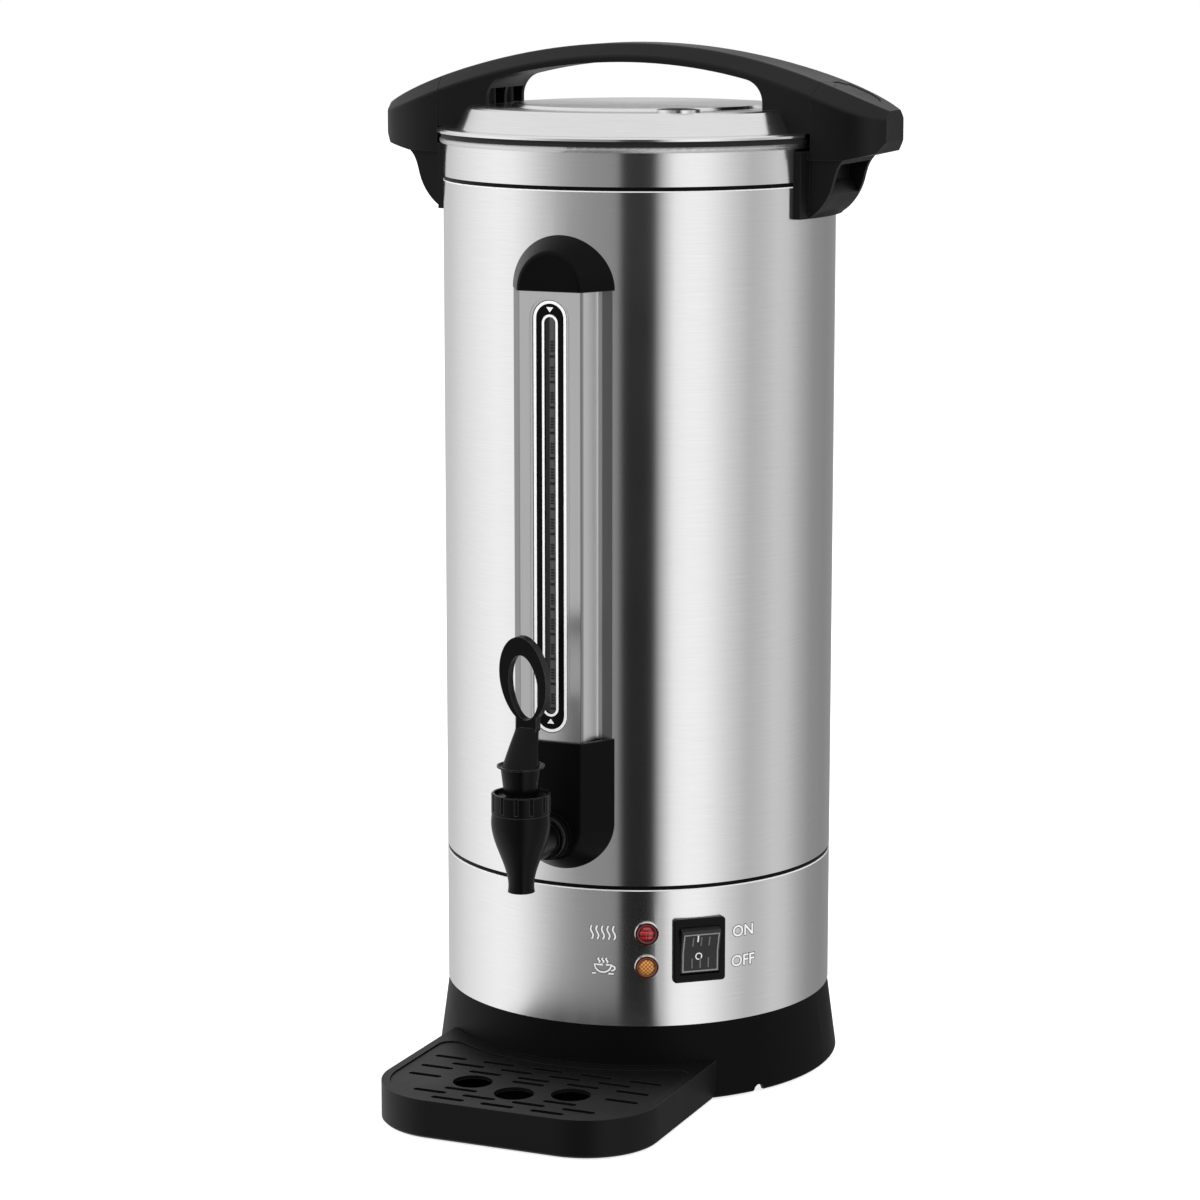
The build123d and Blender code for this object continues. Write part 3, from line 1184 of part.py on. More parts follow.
def brew_holes(solid, z):
    """Rings of small holes through a sheet."""
    for circle_r in BREW_CIRCLES:
        for i in range(BREW_HOLES):
            x, y, _ = at(i * 360 / BREW_HOLES, circle_r)
            solid -= post(BREW_HOLE_R, z - 1, z + 2, x, y)
    return solid


def coffee_basket():
    z0, z1 = BASKET_Z
    sleeve = STEM_TUBE_R + FREE
    basket = post(BASKET_R, z0, z1) - post(BASKET_R - SHEET, z0 + SHEET, z1 + 1)
    basket += post(sleeve + SHEET, z0, z1)
    return brew_holes(basket - post(sleeve, z0 - 1, z1 + 1), z0)


def basket_lid():
    z = BASKET_Z[1]
    disc = ring(BASKET_R + 1.5, STEM_TUBE_R + 2 * FREE, z, z + SHEET)
    disc += ring(BASKET_R + 1.5, BASKET_R + FIT, z - 4, z)
    disc += ring(12, 11.2, z, z + 3)
    return brew_holes(disc, z)


def pump_stem():
    floor = TANK_FLOOR_Z
    stem = post(STEM_TUBE_R, floor, STEM_TOP_Z)
    stem += turned([(0, floor), (STEM_FOOT_R, floor), (STEM_FOOT_R, floor + 1.5), (8, floor + 9),
                    (0, floor + 9)])
    stem += turned([(0, BASKET_Z[0] - 5), (STEM_TUBE_R, BASKET_Z[0] - 5), (8, BASKET_Z[0] - 2),
                    (8, BASKET_Z[0]), (0, BASKET_Z[0])])
    return stem - post(STEM_TUBE_R - 1.2, floor - 1, STEM_TOP_Z + 1)


PIECES = (
    base_skirt, base_plate, base_screws, rubber_feet, control_band, lower_trim_ring, outer_shell,
    upper_trim_ring, upper_collar, inner_tank, tie_rods, heat_plate, heating_element, element_clamp,
    heater_fasteners, keep_warm_thermostat, thermal_cutout, terminal_block, wiring_leads,
    lid_shell, lid_inner_pan, lid_gasket, lid_vent, lid_handle, lid_handle_screws,
    side_handle_right, side_handle_left, side_handle_screws, gauge_cover, gauge_frame, gauge_lens,
    sight_tube, shank_tee, gauge_elbow, gauge_seals, gauge_top_cap, gauge_bottom_cap, tap_body, tap_bonnet,
    tap_seat_cup, tap_stem, tap_spring, lever_pin, tap_lever, tap_washers, tap_shank_nut, lamp_bezels,
    heating_lamp_lens, warm_lamp_lens, lamp_bodies, switch_housing, switch_rocker, switch_terminals,
    power_inlet, inlet_pins, drip_tray, drip_grille, coffee_basket, basket_lid, pump_stem)

os.makedirs("parts", exist_ok=True)
for piece in PIECES:
    export_step(piece(), f"parts/{piece.__name__}.step")
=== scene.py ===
import math
import bmesh
import bpy
from mathutils import Matrix, Vector


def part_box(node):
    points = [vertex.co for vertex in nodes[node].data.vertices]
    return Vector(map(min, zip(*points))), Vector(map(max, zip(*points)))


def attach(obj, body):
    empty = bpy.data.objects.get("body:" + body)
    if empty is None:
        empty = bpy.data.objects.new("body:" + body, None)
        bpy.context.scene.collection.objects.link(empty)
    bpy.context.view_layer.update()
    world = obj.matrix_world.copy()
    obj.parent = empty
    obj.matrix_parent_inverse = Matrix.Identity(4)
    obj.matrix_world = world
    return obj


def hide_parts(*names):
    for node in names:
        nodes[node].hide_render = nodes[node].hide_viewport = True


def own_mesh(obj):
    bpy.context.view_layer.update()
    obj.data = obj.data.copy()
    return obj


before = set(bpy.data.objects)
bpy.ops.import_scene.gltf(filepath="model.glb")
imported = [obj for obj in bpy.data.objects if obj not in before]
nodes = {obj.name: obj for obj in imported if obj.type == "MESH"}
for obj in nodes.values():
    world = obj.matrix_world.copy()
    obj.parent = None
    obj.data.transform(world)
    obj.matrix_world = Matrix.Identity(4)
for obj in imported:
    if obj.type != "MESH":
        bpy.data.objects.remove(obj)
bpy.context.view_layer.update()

# ---- Camera ----
# A long lens a little above the lid, turned to the urn's right front and pitched down towards the
# tray. It only looks, and is no piece of the urn.
CAMERA_AZIMUTH = math.radians(22.6)
CAMERA_DISTANCE = 2.0308
CAMERA_HEIGHT = 0.6356
CAMERA_PITCH = math.radians(9.8445)
CAMERA_YAW = math.radians(0.628)
CAMERA_LENS = 108.372
CAMERA_SHIFT = -0.03
camera_data = bpy.data.cameras.new("camera")
camera_data.sensor_width = 36.0
camera_data.lens = CAMERA_LENS
camera_data.shift_y = CAMERA_SHIFT
camera_data.clip_end = 60.0
camera = bpy.data.objects.new("camera", camera_data)
bpy.context.collection.objects.link(camera)
camera.location = (CAMERA_DISTANCE * math.sin(CAMERA_AZIMUTH), -CAMERA_DISTANCE * math.cos(CAMERA_AZIMUTH),
                   CAMERA_HEIGHT)
camera.rotation_euler = (math.pi / 2 - CAMERA_PITCH, 0, CAMERA_AZIMUTH + CAMERA_YAW)
scene = bpy.context.scene
scene.camera = camera

# ---- Studio room ----
# A white room for the camera. What gleams sees upright soft boxes round the urn, with dark gaps
# between them, and a pale ceiling.
scene.view_settings.view_transform = "Standard"
# degrees right of the camera, brightness
SOFT_BOXES = ((-180, 0.5), (-145, 0.7), (-126, 0.9), (-108, 1.05), (-92, 1.14), (-79, 1.1), (-68, 0.92),
              (-56, 0.66), (-46, 0.47), (-36, 0.36), (-26, 0.31), (-12.7, 0.28), (-9.6, 0.008),
              (8.4, 0.008), (12, 0.45), (20, 1.06), (29, 1.15), (38, 1.12), (46, 0.98), (55, 0.78),
              (68, 0.56), (78, 0.62), (88, 0.73), (98, 0.68), (110, 0.48), (123, 0.33), (141, 0.28),
              (165, 0.3))
CEILING_FROM, CEILING_WHOLE = 0.12, 0.5     # how steeply up it begins, and is all there is
CEILING_TONE = 0.95
ROOM_STRENGTH = 0.85
world = bpy.data.worlds.new("studio")
scene.world = world
world.use_nodes = True


def add(tree, kind, **settings):
    """New node with its settings."""
    node = tree.nodes.new(kind)
    for name, value in settings.items():
        setattr(node, name, value)
    return node


def feed(tree, node, **values):
    """Set a node's inputs by name, or by number as i0, to a value or to another node's output."""
    for name, value in values.items():
        numbered = name[0] == "i" and name[1:].isdigit()
        socket = node.inputs[int(name[1:]) if numbered else name.replace("_", " ")]
        if isinstance(value, bpy.types.NodeSocket):
            tree.links.new(value, socket)
        else:
            socket.default_value = value
    return node


def reckon(tree, operation, first, second=0.0):
    """Result of one Math node."""
    return feed(tree, add(tree, "ShaderNodeMath", operation=operation), i0=first, i1=second).outputs[0]


def spread(tree, source, low, high, to_low, to_high, kind="LINEAR"):
    """Map a range of values to another one."""
    node = add(tree, "ShaderNodeMapRange", interpolation_type=kind)
    feed(tree, node, Value=source, From_Min=low, From_Max=high, To_Min=to_low, To_Max=to_high)
    return node.outputs["Result"]


def split(tree, vector):
    """The three parts of a place or direction."""
    return feed(tree, add(tree, "ShaderNodeSeparateXYZ"), Vector=vector).outputs


def grey(tone):
    """Opaque grey."""
    return tone, tone, tone, 1


def mixed(tree, share, first, second):
    """Mix of two colours."""
    node = add(tree, "ShaderNodeMix", data_type="RGBA")
    return feed(tree, node, Factor=share, A=first, B=second).outputs["Result"]


def either(tree, share, first, second):
    """Mix of two shaders."""
    return feed(tree, add(tree, "ShaderNodeMixShader"), i0=share, i1=first, i2=second).outputs[0]


def shine(tree, kind, **values):
    """Output of a plain shader with its inputs set."""
    return feed(tree, add(tree, "ShaderNode" + kind), **values).outputs[0]


tree = world.node_tree
tree.nodes.clear()
turned = feed(tree, add(tree, "ShaderNodeVectorRotate", rotation_type="Z_AXIS"), Angle=-CAMERA_AZIMUTH,
              Vector=add(tree, "ShaderNodeTexCoord").outputs["Generated"])
side, ahead, up = split(tree, turned.outputs[0])
bearing = reckon(tree, "ARCTAN2", side, reckon(tree, "MULTIPLY", ahead, -1.0))
boxes = add(tree, "ShaderNodeValToRGB")
feed(tree, boxes, Fac=spread(tree, bearing, -math.pi, math.pi, 0.0, 1.0))
stops = boxes.color_ramp.elements
stops[1].position = 1.0
stops[1].color = grey(SOFT_BOXES[0][1])
for i, (degrees, level) in enumerate(SOFT_BOXES):
    stop = stops[0] if i == 0 else stops.new((degrees + 180) / 360)
    stop.color = grey(level)
ceiling = spread(tree, up, CEILING_FROM, CEILING_WHOLE, 0.0, 1.0, "SMOOTHSTEP")
gleam = shine(tree, "Background", Color=mixed(tree, ceiling, boxes.outputs["Color"], grey(CEILING_TONE)))
room = shine(tree, "Background", Color=grey(1), Strength=ROOM_STRENGTH)
white = shine(tree, "Background", Color=grey(1), Strength=1.0)
ray = add(tree, "ShaderNodeLightPath").outputs
seen_straight = reckon(tree, "MAXIMUM", ray["Is Camera Ray"], ray["Is Transmission Ray"])
surround = either(tree, seen_straight, either(tree, ray["Is Glossy Ray"], room, gleam), white)
feed(tree, add(tree, "ShaderNodeOutputWorld"), Surface=surround)

URN_MIDDLE = Vector((0, 0, 0.3))


def soft_lamp(name, azimuth, distance, height, size, power):
    """Square lamp that faces the urn's middle, azimuth in degrees right of the front."""
    data = bpy.data.lights.new(name, "AREA")
    data.size = size
    data.energy = power
    lamp = bpy.data.objects.new(name, data)
    bpy.context.collection.objects.link(lamp)
    a = math.radians(azimuth)
    lamp.location = (distance * math.sin(a), -distance * math.cos(a), height)
    lamp.rotation_euler = (URN_MIDDLE - lamp.location).to_track_quat("-Z", "Y").to_euler()
    lamp.visible_glossy = False


soft_lamp("lamp_left", -50, 1.8, 1.5, 0.9, 20.0)
soft_lamp("lamp_right", 80, 1.9, 1.2, 0.7, 9.0)
soft_lamp("lamp_top", 150, 1.0, 1.9, 0.8, 11.0)

# ---- Floor ----
# White paper under the urn: it keeps the urn's soft shadow and stays white out to the horizon. It is
# clear from below, so that the underside shows.
FLOOR_R = 12.0
PAPER_TONE = 0.62
PAPER_GLOW = 0.72
floor_mesh = bpy.data.meshes.new("floor")
floor_form = bmesh.new()
bmesh.ops.create_circle(floor_form, cap_ends=True, radius=FLOOR_R, segments=64)
floor_form.to_mesh(floor_mesh)
floor_form.free()
floor = bpy.data.objects.new("floor", floor_mesh)
bpy.context.collection.objects.link(floor)
floor.visible_glossy = False
paper = bpy.data.materials.new("white_paper")
paper.use_nodes = True
tree = paper.node_tree
tree.nodes.clear()
glow = either(tree, add(tree, "ShaderNodeLightPath").outputs["Is Camera Ray"],
              shine(tree, "BsdfTransparent", Color=grey(0)), shine(tree, "Emission", Strength=PAPER_GLOW))
upper_side = shine(tree, "AddShader", i0=shine(tree, "BsdfDiffuse", Color=grey(PAPER_TONE)), i1=glow)
one_sided = either(tree, add(tree, "ShaderNodeNewGeometry").outputs["Backfacing"], upper_side,
                   shine(tree, "BsdfTransparent", Color=grey(1)))
feed(tree, add(tree, "ShaderNodeOutputMaterial"), Surface=one_sided)
floor_mesh.materials.append(paper)

# ---- Rubber feet and seals ----
# Four push-in feet, the tap's two washers and the lid's gasket, pressed in soft black rubber with a
# dull, slightly uneven skin.
# Width and limits of the painted highlight that moulded finishes put along their edges.
EDGE_HIGHLIGHT_W = 0.0005
HIGHLIGHT_WHOLE, HIGHLIGHT_FROM = 0.8, 0.985            # how nearly the skin faces as a rounded edge would
CLOUD_SCALE = 22.0


def shader_of(material):
    """The one shader of a finish."""
    return material.node_tree.nodes["Principled BSDF"]


def finish(name, colour, rough, metal=0.0):
    """Material with one shader whose colour and roughness are still plain numbers."""
    material = bpy.data.materials.new(name)
    material.use_nodes = True
    tree, shader = material.node_tree, shader_of(material)
    feed(tree, shader, Base_Color=(*colour, 1), Roughness=rough, Metallic=metal)
    return material, tree, shader


def own_place(tree):
    """Place in the object's own frame."""
    return add(tree, "ShaderNodeTexCoord").outputs["Object"]


def grain(tree, scale, stretch=(1, 1, 1), detail=3.0):
    """Noise in the object's own place, finer along the axes that are stretched more."""
    mapping = feed(tree, add(tree, "ShaderNodeMapping"), Vector=own_place(tree), Scale=stretch)
    noise = feed(tree, add(tree, "ShaderNodeTexNoise"), Vector=mapping.outputs[0], Scale=scale, Detail=detail)
    return noise.outputs["Fac"]


def swing(tree, noise, low, high):
    """Map a noise, whose values keep near the middle, to a range."""
    return spread(tree, noise, 0.3, 0.7, low, high)


def relief(tree, shader, height, depth):
    """Bump of a depth in metres."""
    bump = feed(tree, add(tree, "ShaderNodeBump"), Height=height, Strength=1.0, Distance=depth)
    feed(tree, shader, Normal=bump.outputs[0])


def dress(material, *names):
    """Give a finish to whole nodes of the construction."""
    for name in names:
        for slot in nodes[name].material_slots:
            slot.material = material


def painted_edge_highlights(tree, colour, tone):
    """Colour with a painted highlight towards a tone where two faces meet at an edge."""
    rounded = feed(tree, add(tree, "ShaderNodeBevel", samples=4), Radius=EDGE_HIGHLIGHT_W)
    facing = add(tree, "ShaderNodeVectorMath", operation="DOT_PRODUCT")
    feed(tree, facing, i0=rounded.outputs[0], i1=add(tree, "ShaderNodeNewGeometry").outputs["Normal"])
    highlighted = spread(tree, facing.outputs["Value"], HIGHLIGHT_WHOLE, HIGHLIGHT_FROM, 1.0, 0.0)
    return mixed(tree, highlighted, colour, grey(tone))


def moulded(name, colour, rough, texture, scale, specular, edge=0.0):
    """Moulded plastic or rubber: eroded skin, paler and duller patches, and a painted highlight along edges.
    """
    material, tree, shader = finish(name, colour, rough)
    cloud = grain(tree, CLOUD_SCALE)
    skin = grain(tree, scale, detail=2.0)
    pale = tuple(c * 1.35 for c in colour)
    skin_colour = mixed(tree, cloud, (*colour, 1), (*pale, 1))
    # Painted highlight: where an edge tone is given, the colour turns towards it along edges.
    feed(tree, shader, Base_Color=painted_edge_highlights(tree, skin_colour, edge) if edge else skin_colour,
         Roughness=swing(tree, cloud, rough - 0.05, rough + 0.05), Specular_IOR_Level=specular)
    relief(tree, shader, skin, texture)
    return material


rubber = moulded("black_rubber", (0.014, 0.014, 0.014), 0.7, 0.00004, 700.0, 0.3)
dress(rubber, "rubber_feet", "tap_washers", "lid_gasket")


# ---- Base plate, rods and small fasteners ----
# Zinc-plated steel: the plate that closes the skirt, its screws, the tie rods and the other screws
# and nuts. Plated steel is dull grey with a faint crystalline bloom.
def plated(name, tone, rough, scale):
    """Bare or plated metal with a cloudy bloom."""
    material, tree, shader = finish(name, (tone,) * 3, rough, 1.0)
    bloom = grain(tree, scale, detail=5.0)
    feed(tree, shader, Base_Color=mixed(tree, bloom, grey(tone * 0.86), grey(min(1.0, tone * 1.1))),
         Roughness=swing(tree, bloom, rough - 0.06, rough + 0.06))
    relief(tree, shader, bloom, 0.000004)
    return material


zinc = plated("zinc_plate", 0.55, 0.36, 160.0)
dress(zinc, "base_plate", "base_screws", "tie_rods", "element_clamp", "heater_fasteners", "lid_handle_screws",
      "side_handle_screws")

# ---- Skirt ----
# The flared foot that carries the body, moulded in satin black plastic with a fine spark-eroded
# skin. The trim rings between the steel walls are the same plastic.
# The last number is the tone of the painted highlight along its edges.
satin_black = moulded("satin_black", (0.0022, 0.0022, 0.0023), 0.42, 0.000035, 1500.0, 0.06, 0.03)
dress(satin_black, "base_skirt", "lower_trim_ring", "upper_trim_ring")

# ---- Steel walls ----
# Control band and outer shell: stainless sheet rolled into rings and welded at the rear, ground with
# fine lines that run round the body. Along the upper edge of each runs a pale, non-metallic
# painted highlight.
WALL_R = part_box("outer_shell")[1][0]
WALL_TONE = 0.755
WALL_ROUGH = 0.19
WELD_HALF_W = 0.0009
WELD_RISE = 30.0                            # against the height of the ground lines
LINES_PER_RADIAN = 5.0
LINES_PER_METRE = 5200.0
EDGE_H = 0.0007
EDGE_HIGHLIGHT_TONE = 0.86


def distance(tree, x, y):
    """Length of a line with the given parts."""
    squares = [reckon(tree, "MULTIPLY", part, part) for part in (x, y)]
    return reckon(tree, "SQRT", reckon(tree, "ADD", *squares))


def round_the_axis(tree):
    """Place on a turned surface, drawn out round the axis as ground lines are, and the bearing."""
    x, y, z = split(tree, own_place(tree))
    bearing = reckon(tree, "ARCTAN2", x, reckon(tree, "MULTIPLY", y, -1.0))
    spot = feed(tree, add(tree, "ShaderNodeCombineXYZ"),
                X=reckon(tree, "MULTIPLY", bearing, LINES_PER_RADIAN),
                Y=reckon(tree, "MULTIPLY", distance(tree, x, y), LINES_PER_METRE),
                Z=reckon(tree, "MULTIPLY", z, LINES_PER_METRE))
    return spot.outputs[0], bearing


def brushed(tree, shader, amount, turn):
    """Draw the gleam out over ground lines, which run along the axis or round it by the turn."""
    tangent = add(tree, "ShaderNodeTangent", direction_type="RADIAL", axis="Z").outputs[0]
    feed(tree, shader, Anisotropic=amount, Anisotropic_Rotation=turn, Tangent=tangent)


def ground_round(name, tone, rough, weld):
    """Steel ground with lines round the axis, with a weld down the rear of a rolled wall."""
    material, tree, shader = finish(name, (tone,) * 3, rough, 1.0)
    brushed(tree, shader, 0.82, 0.25)
    spot, bearing = round_the_axis(tree)
    lines = feed(tree, add(tree, "ShaderNodeTexNoise"), Vector=spot, Scale=1.0, Detail=3.0).outputs["Fac"]
    colour = mixed(tree, swing(tree, lines, 0.0, 1.0), grey(tone - 0.03), grey(tone + 0.03))
    height = lines
    if weld:
        off = reckon(tree, "SUBTRACT", math.pi, reckon(tree, "ABSOLUTE", bearing))
        seam = spread(tree, off, WELD_HALF_W / WALL_R * 0.5, WELD_HALF_W / WALL_R, 1.0, 0.0, "SMOOTHSTEP")
        colour = mixed(tree, seam, colour, grey(tone * 0.72))
        height = reckon(tree, "ADD", lines, reckon(tree, "MULTIPLY", seam, WELD_RISE))
    feed(tree, shader, Base_Color=colour,
         Roughness=swing(tree, grain(tree, 7.0), rough - 0.015, rough + 0.015))
    relief(tree, shader, height, 0.000001)
    return material


wall_steel = ground_round("ground_steel_wall", WALL_TONE, WALL_ROUGH, True)
dress(wall_steel, "control_band", "outer_shell")
shell_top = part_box("outer_shell")[1][2]
band_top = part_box("control_band")[1][2]
tree, shader = wall_steel.node_tree, shader_of(wall_steel)
_, _, up = split(tree, own_place(tree))
# Painted highlight: a pale, non-metallic band along the top of the shell and of the band.
shell_highlight = spread(tree, up, shell_top - EDGE_H, shell_top - EDGE_H * 0.7, 0.0, 1.0)
off_band = reckon(tree, "ABSOLUTE", reckon(tree, "SUBTRACT", up, band_top - EDGE_H / 2))
band_highlight = spread(tree, off_band, EDGE_H * 0.4, EDGE_H * 0.6, 1.0, 0.0)
edge = reckon(tree, "MAXIMUM", shell_highlight, band_highlight)
ground = shader.inputs["Base Color"].links[0].from_socket
feed(tree, shader, Base_Color=mixed(tree, edge, ground, grey(EDGE_HIGHLIGHT_TONE)),
     Metallic=reckon(tree, "SUBTRACT", 1.0, edge))

# ---- Collar ----
# The short wall above the upper trim ring, of the same sheet, whose mouth is rolled over into a
# bead that the rolls have left duller.
BEAD_H = 0.0034
BEAD_ROUGH = 0.5
bead_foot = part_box("upper_collar")[1][2] - BEAD_H
collar_steel = ground_round("ground_steel_collar", WALL_TONE, WALL_ROUGH, True)
tree, shader = collar_steel.node_tree, shader_of(collar_steel)
_, _, up = split(tree, own_place(tree))
rolled = spread(tree, up, bead_foot, bead_foot + 0.0004, 0.0, 1.0)
ground = shader.inputs["Roughness"].links[0].from_socket
feed(tree, shader, Roughness=reckon(tree, "MAXIMUM", ground, reckon(tree, "MULTIPLY", rolled, BEAD_ROUGH)))
dress(collar_steel, "upper_collar")

# ---- Tank and brewing parts ----
# The drawn tank inside the walls, the coffee basket with its lid, the pump stem and the lid's inner
# pan, all polished stainless steel with the faint waviness of drawn sheet.
polished = plated("polished_steel", 0.74, 0.13, 30.0)
dress(polished, "inner_tank", "coffee_basket", "basket_lid", "pump_stem", "lid_inner_pan")

# ---- Heater ----
# Cast aluminium plate under the tank, with a sheathed element that is pressed to it by a clamp and
# that heat has darkened unevenly.
cast = plated("cast_aluminium", 0.6, 0.5, 220.0)
dress(cast, "heat_plate")
sheath, tree, shader = finish("element_sheath", (0.2, 0.19, 0.18), 0.45, 0.85)
feed(tree, shader, Base_Color=mixed(tree, grain(tree, 60.0), (0.1, 0.095, 0.1, 1), (0.34, 0.29, 0.24, 1)))
dress(sheath, "heating_element")

# ---- Thermostats, terminals and leads ----
# Off-white insulating plastic for the two thermostats, the terminal block and the tap's stem, plain
# brass tabs and pins, and braided glass sleeves on the leads, with their weave across the wire.
insulator = moulded("white_insulator", (0.62, 0.6, 0.55), 0.5, 0.00002, 900.0, 0.5)
dress(insulator, "keep_warm_thermostat", "thermal_cutout", "terminal_block", "tap_stem")
sleeve, tree, shader = finish("braided_sleeve", (0.6, 0.57, 0.45), 0.8)
weave = feed(tree, add(tree, "ShaderNodeTexBrick"), Vector=own_place(tree), Scale=900.0,
             Color1=(0.68, 0.64, 0.5, 1), Color2=(0.56, 0.52, 0.4, 1), Mortar=(0.3, 0.28, 0.22, 1))
feed(tree, shader, Base_Color=weave.outputs["Color"])
relief(tree, shader, weave.outputs["Fac"], -0.0001)
dress(sleeve, "wiring_leads")
brass = plated("plain_brass", 0.6, 0.3, 200.0)
tree = brass.node_tree
feed(tree, shader_of(brass),
     Base_Color=mixed(tree, grain(tree, 200.0), (0.56, 0.38, 0.13, 1), (0.78, 0.57, 0.24, 1)))
dress(brass, "inlet_pins", "switch_terminals")

# ---- Mains inlet, switch housing and lamp barrels ----
# Smooth black plastic, moulded in polished tools. The inlet, the housing and the barrels are clipped
# into the band from outside.
smooth_black = moulded("smooth_black", (0.0016, 0.0016, 0.0017), 0.22, 0.000004, 300.0, 0.1)
dress(smooth_black, "power_inlet", "lamp_bodies", "switch_housing")

# ---- Rocker switch ----
# The rocker is a black cap with a raised rim, three short finger ribs on each half and the usual I
# and O printed in white. The rim and the ribs are coloured grey as painted highlights. It turns on two
# trunnions in its housing.
SWITCH_AZIMUTH = math.radians(40.2)
SWITCH_Z = 0.086
ROCKER_AXIS_OUT = -0.001
ROCKER_TILT = math.radians(9.0)
ROCKER_HALF_W = 0.0111
# side view of the cap: height along the wall, distance out from the trunnions
ROCKER_SIDE = ((-0.0123, -0.004), (0.0123, -0.004), (0.0133, 0.0), (0.0127, 0.0042), (0.0117, 0.0052),
               (0.0, 0.0037), (-0.0117, 0.0052), (-0.0127, 0.0042), (-0.0133, 0.0))
FACE_MIDDLE = 0.0037
FACE_RISE = 0.0015 / 0.0117
RIM_X = ROCKER_HALF_W - 0.0008
RIM_Y = 0.0112
RIM_W = 0.0007
RIM_H = 0.00035
RIM_STEPS = 8
RIB = (0.0008, 0.0056, 0.0005)
RIB_STEP = 0.0047
RIB_Y = 0.0064
MARK_H = 0.00006
MARK_SUNK = 0.00004
I_HALF_W = 0.00042
I_X = -0.0019
I_LOW, I_HIGH = 0.0062, 0.0104
O_PLACE = (-0.0008, -0.0026)
O_R, O_HOLE_R = 0.002, 0.0014


def on_wall(azimuth, z, out=0.0):
    """Frame on the body's wall: x to the right as seen from outside, y up, z outwards."""
    right = Vector((math.cos(azimuth), math.sin(azimuth), 0))
    outwards = Vector((math.sin(azimuth), -math.cos(azimuth), 0))
    place = Matrix((right, (0, 0, 1), outwards)).transposed().to_4x4()
    place.translation = outwards * (WALL_R + out) + Vector((0, 0, z))
    return place


def band(form, near, far):
    """Row of faces between two closed rows of points."""
    for i in range(len(near)):
        j = (i + 1) % len(near)
        form.faces.new((near[i], near[j], far[j], far[i]))


def prism(form, loop, low, high):
    """Closed prism on a loop of points that runs anticlockwise, between two heights."""
    base = [form.verts.new((x, y, low)) for x, y in loop]
    top = [form.verts.new((x, y, high)) for x, y in loop]
    form.faces.new(base[::-1])
    form.faces.new(top)
    band(form, base, top)


def flat_ring(form, outer, inner, low, high):
    """Closed flat ring between two loops with as many points each."""
    rows = [[form.verts.new((x, y, z)) for x, y in loop]
            for loop, z in ((outer, low), (outer, high), (inner, high), (inner, low))]
    for near, far in zip(rows, rows[1:] + rows[:1]):
        band(form, near, far)


def arc(x, y, wide, high, start, end, steps):
    """Points along an ellipse round a place, from one angle to another."""
    return [(x + wide * math.cos(a), y + high * math.sin(a))
            for a in (start + (end - start) * i / steps for i in range(steps + 1))]


def circle(x, y, radius):
    """Loop of points on a circle."""
    return arc(x, y, radius, radius, 0, 2 * math.pi, 28)[:-1]


def made(name, form, material, body, bevel=0.0):
    """Finish a piece: outward faces, a small bevel on its edges, its material and what it rides on."""
    if bevel:
        sharp = [e for e in form.edges if len(e.link_faces) == 2 and e.calc_face_angle() > 0.5]
        bmesh.ops.bevel(form, geom=sharp, offset=bevel, segments=2, profile=0.7, affect="EDGES",
                        clamp_overlap=True)
    bmesh.ops.recalc_face_normals(form, faces=form.faces)
    mesh = bpy.data.meshes.new(name)
    form.to_mesh(mesh)
    form.free()
    piece = bpy.data.objects.new(name, mesh)
    bpy.context.collection.objects.link(piece)
    mesh.materials.append(material)
    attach(piece, body)
    return piece


def evaluated(piece):
    """Plain mesh of what an object comes out as."""
    return bpy.data.meshes.new_from_object(piece.evaluated_get(bpy.context.evaluated_depsgraph_get()))


def bars_tree():
    """Geometry tree: rows of small bars, each row a step from the last and each bar a step within it."""
    tree = bpy.data.node_groups.new("rows_of_bars", "GeometryNodeTree")
    for name, kind in (("Rows", "Int"), ("Row Step", "Vector"), ("Bars", "Int"), ("Bar Step", "Vector"),
                       ("Bar Size", "Vector"), ("Finish", "Material")):
        tree.interface.new_socket(name, in_out="INPUT", socket_type="NodeSocket" + kind)
    tree.interface.new_socket("Geometry", in_out="OUTPUT", socket_type="NodeSocketGeometry")
    given = tree.nodes.new("NodeGroupInput").outputs

    def step(kind, **values):
        """Output of one Geometry node."""
        return feed(tree, add(tree, "GeometryNode" + kind), **values).outputs[0]

    bar = step("MeshCube", Size=given["Bar Size"])
    within = step("MeshLine", Count=given["Bars"], Offset=given["Bar Step"])
    across = step("MeshLine", Count=given["Rows"], Offset=given["Row Step"])
    row = step("InstanceOnPoints", Points=within, Instance=bar)
    rows = step("InstanceOnPoints", Points=across, Instance=row)
    coloured = step("SetMaterial", Geometry=step("RealizeInstances", Geometry=rows), Material=given["Finish"])
    feed(tree, tree.nodes.new("NodeGroupOutput"), Geometry=coloured)
    return tree


ROWS_OF_BARS = bars_tree()


def grown(name, tree, body, slot, place, **sizes):
    """Plain mesh of what a geometry tree makes with the given sizes, set at a place."""
    seed = bpy.data.objects.new(name + "_seed", bpy.data.meshes.new(name + "_seed"))
    bpy.context.collection.objects.link(seed)
    modifier = seed.modifiers.new("grow", "NODES")
    modifier.node_group = tree
    for item in tree.interface.items_tree:
        value = sizes.get(item.name.replace(" ", "_")) if item.in_out == "INPUT" else None
        if value is not None:
            modifier[item.identifier] = value
    mesh = evaluated(seed)
    bpy.data.objects.remove(seed)
    for vertex in mesh.vertices:
        vertex.co = place(vertex.co)
    piece = bpy.data.objects.new(name, mesh)
    bpy.context.collection.objects.link(piece)
    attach(piece, body)
    return piece


rocker_place = on_wall(SWITCH_AZIMUTH, SWITCH_Z, ROCKER_AXIS_OUT) @ Matrix.Rotation(ROCKER_TILT, 4, "X")


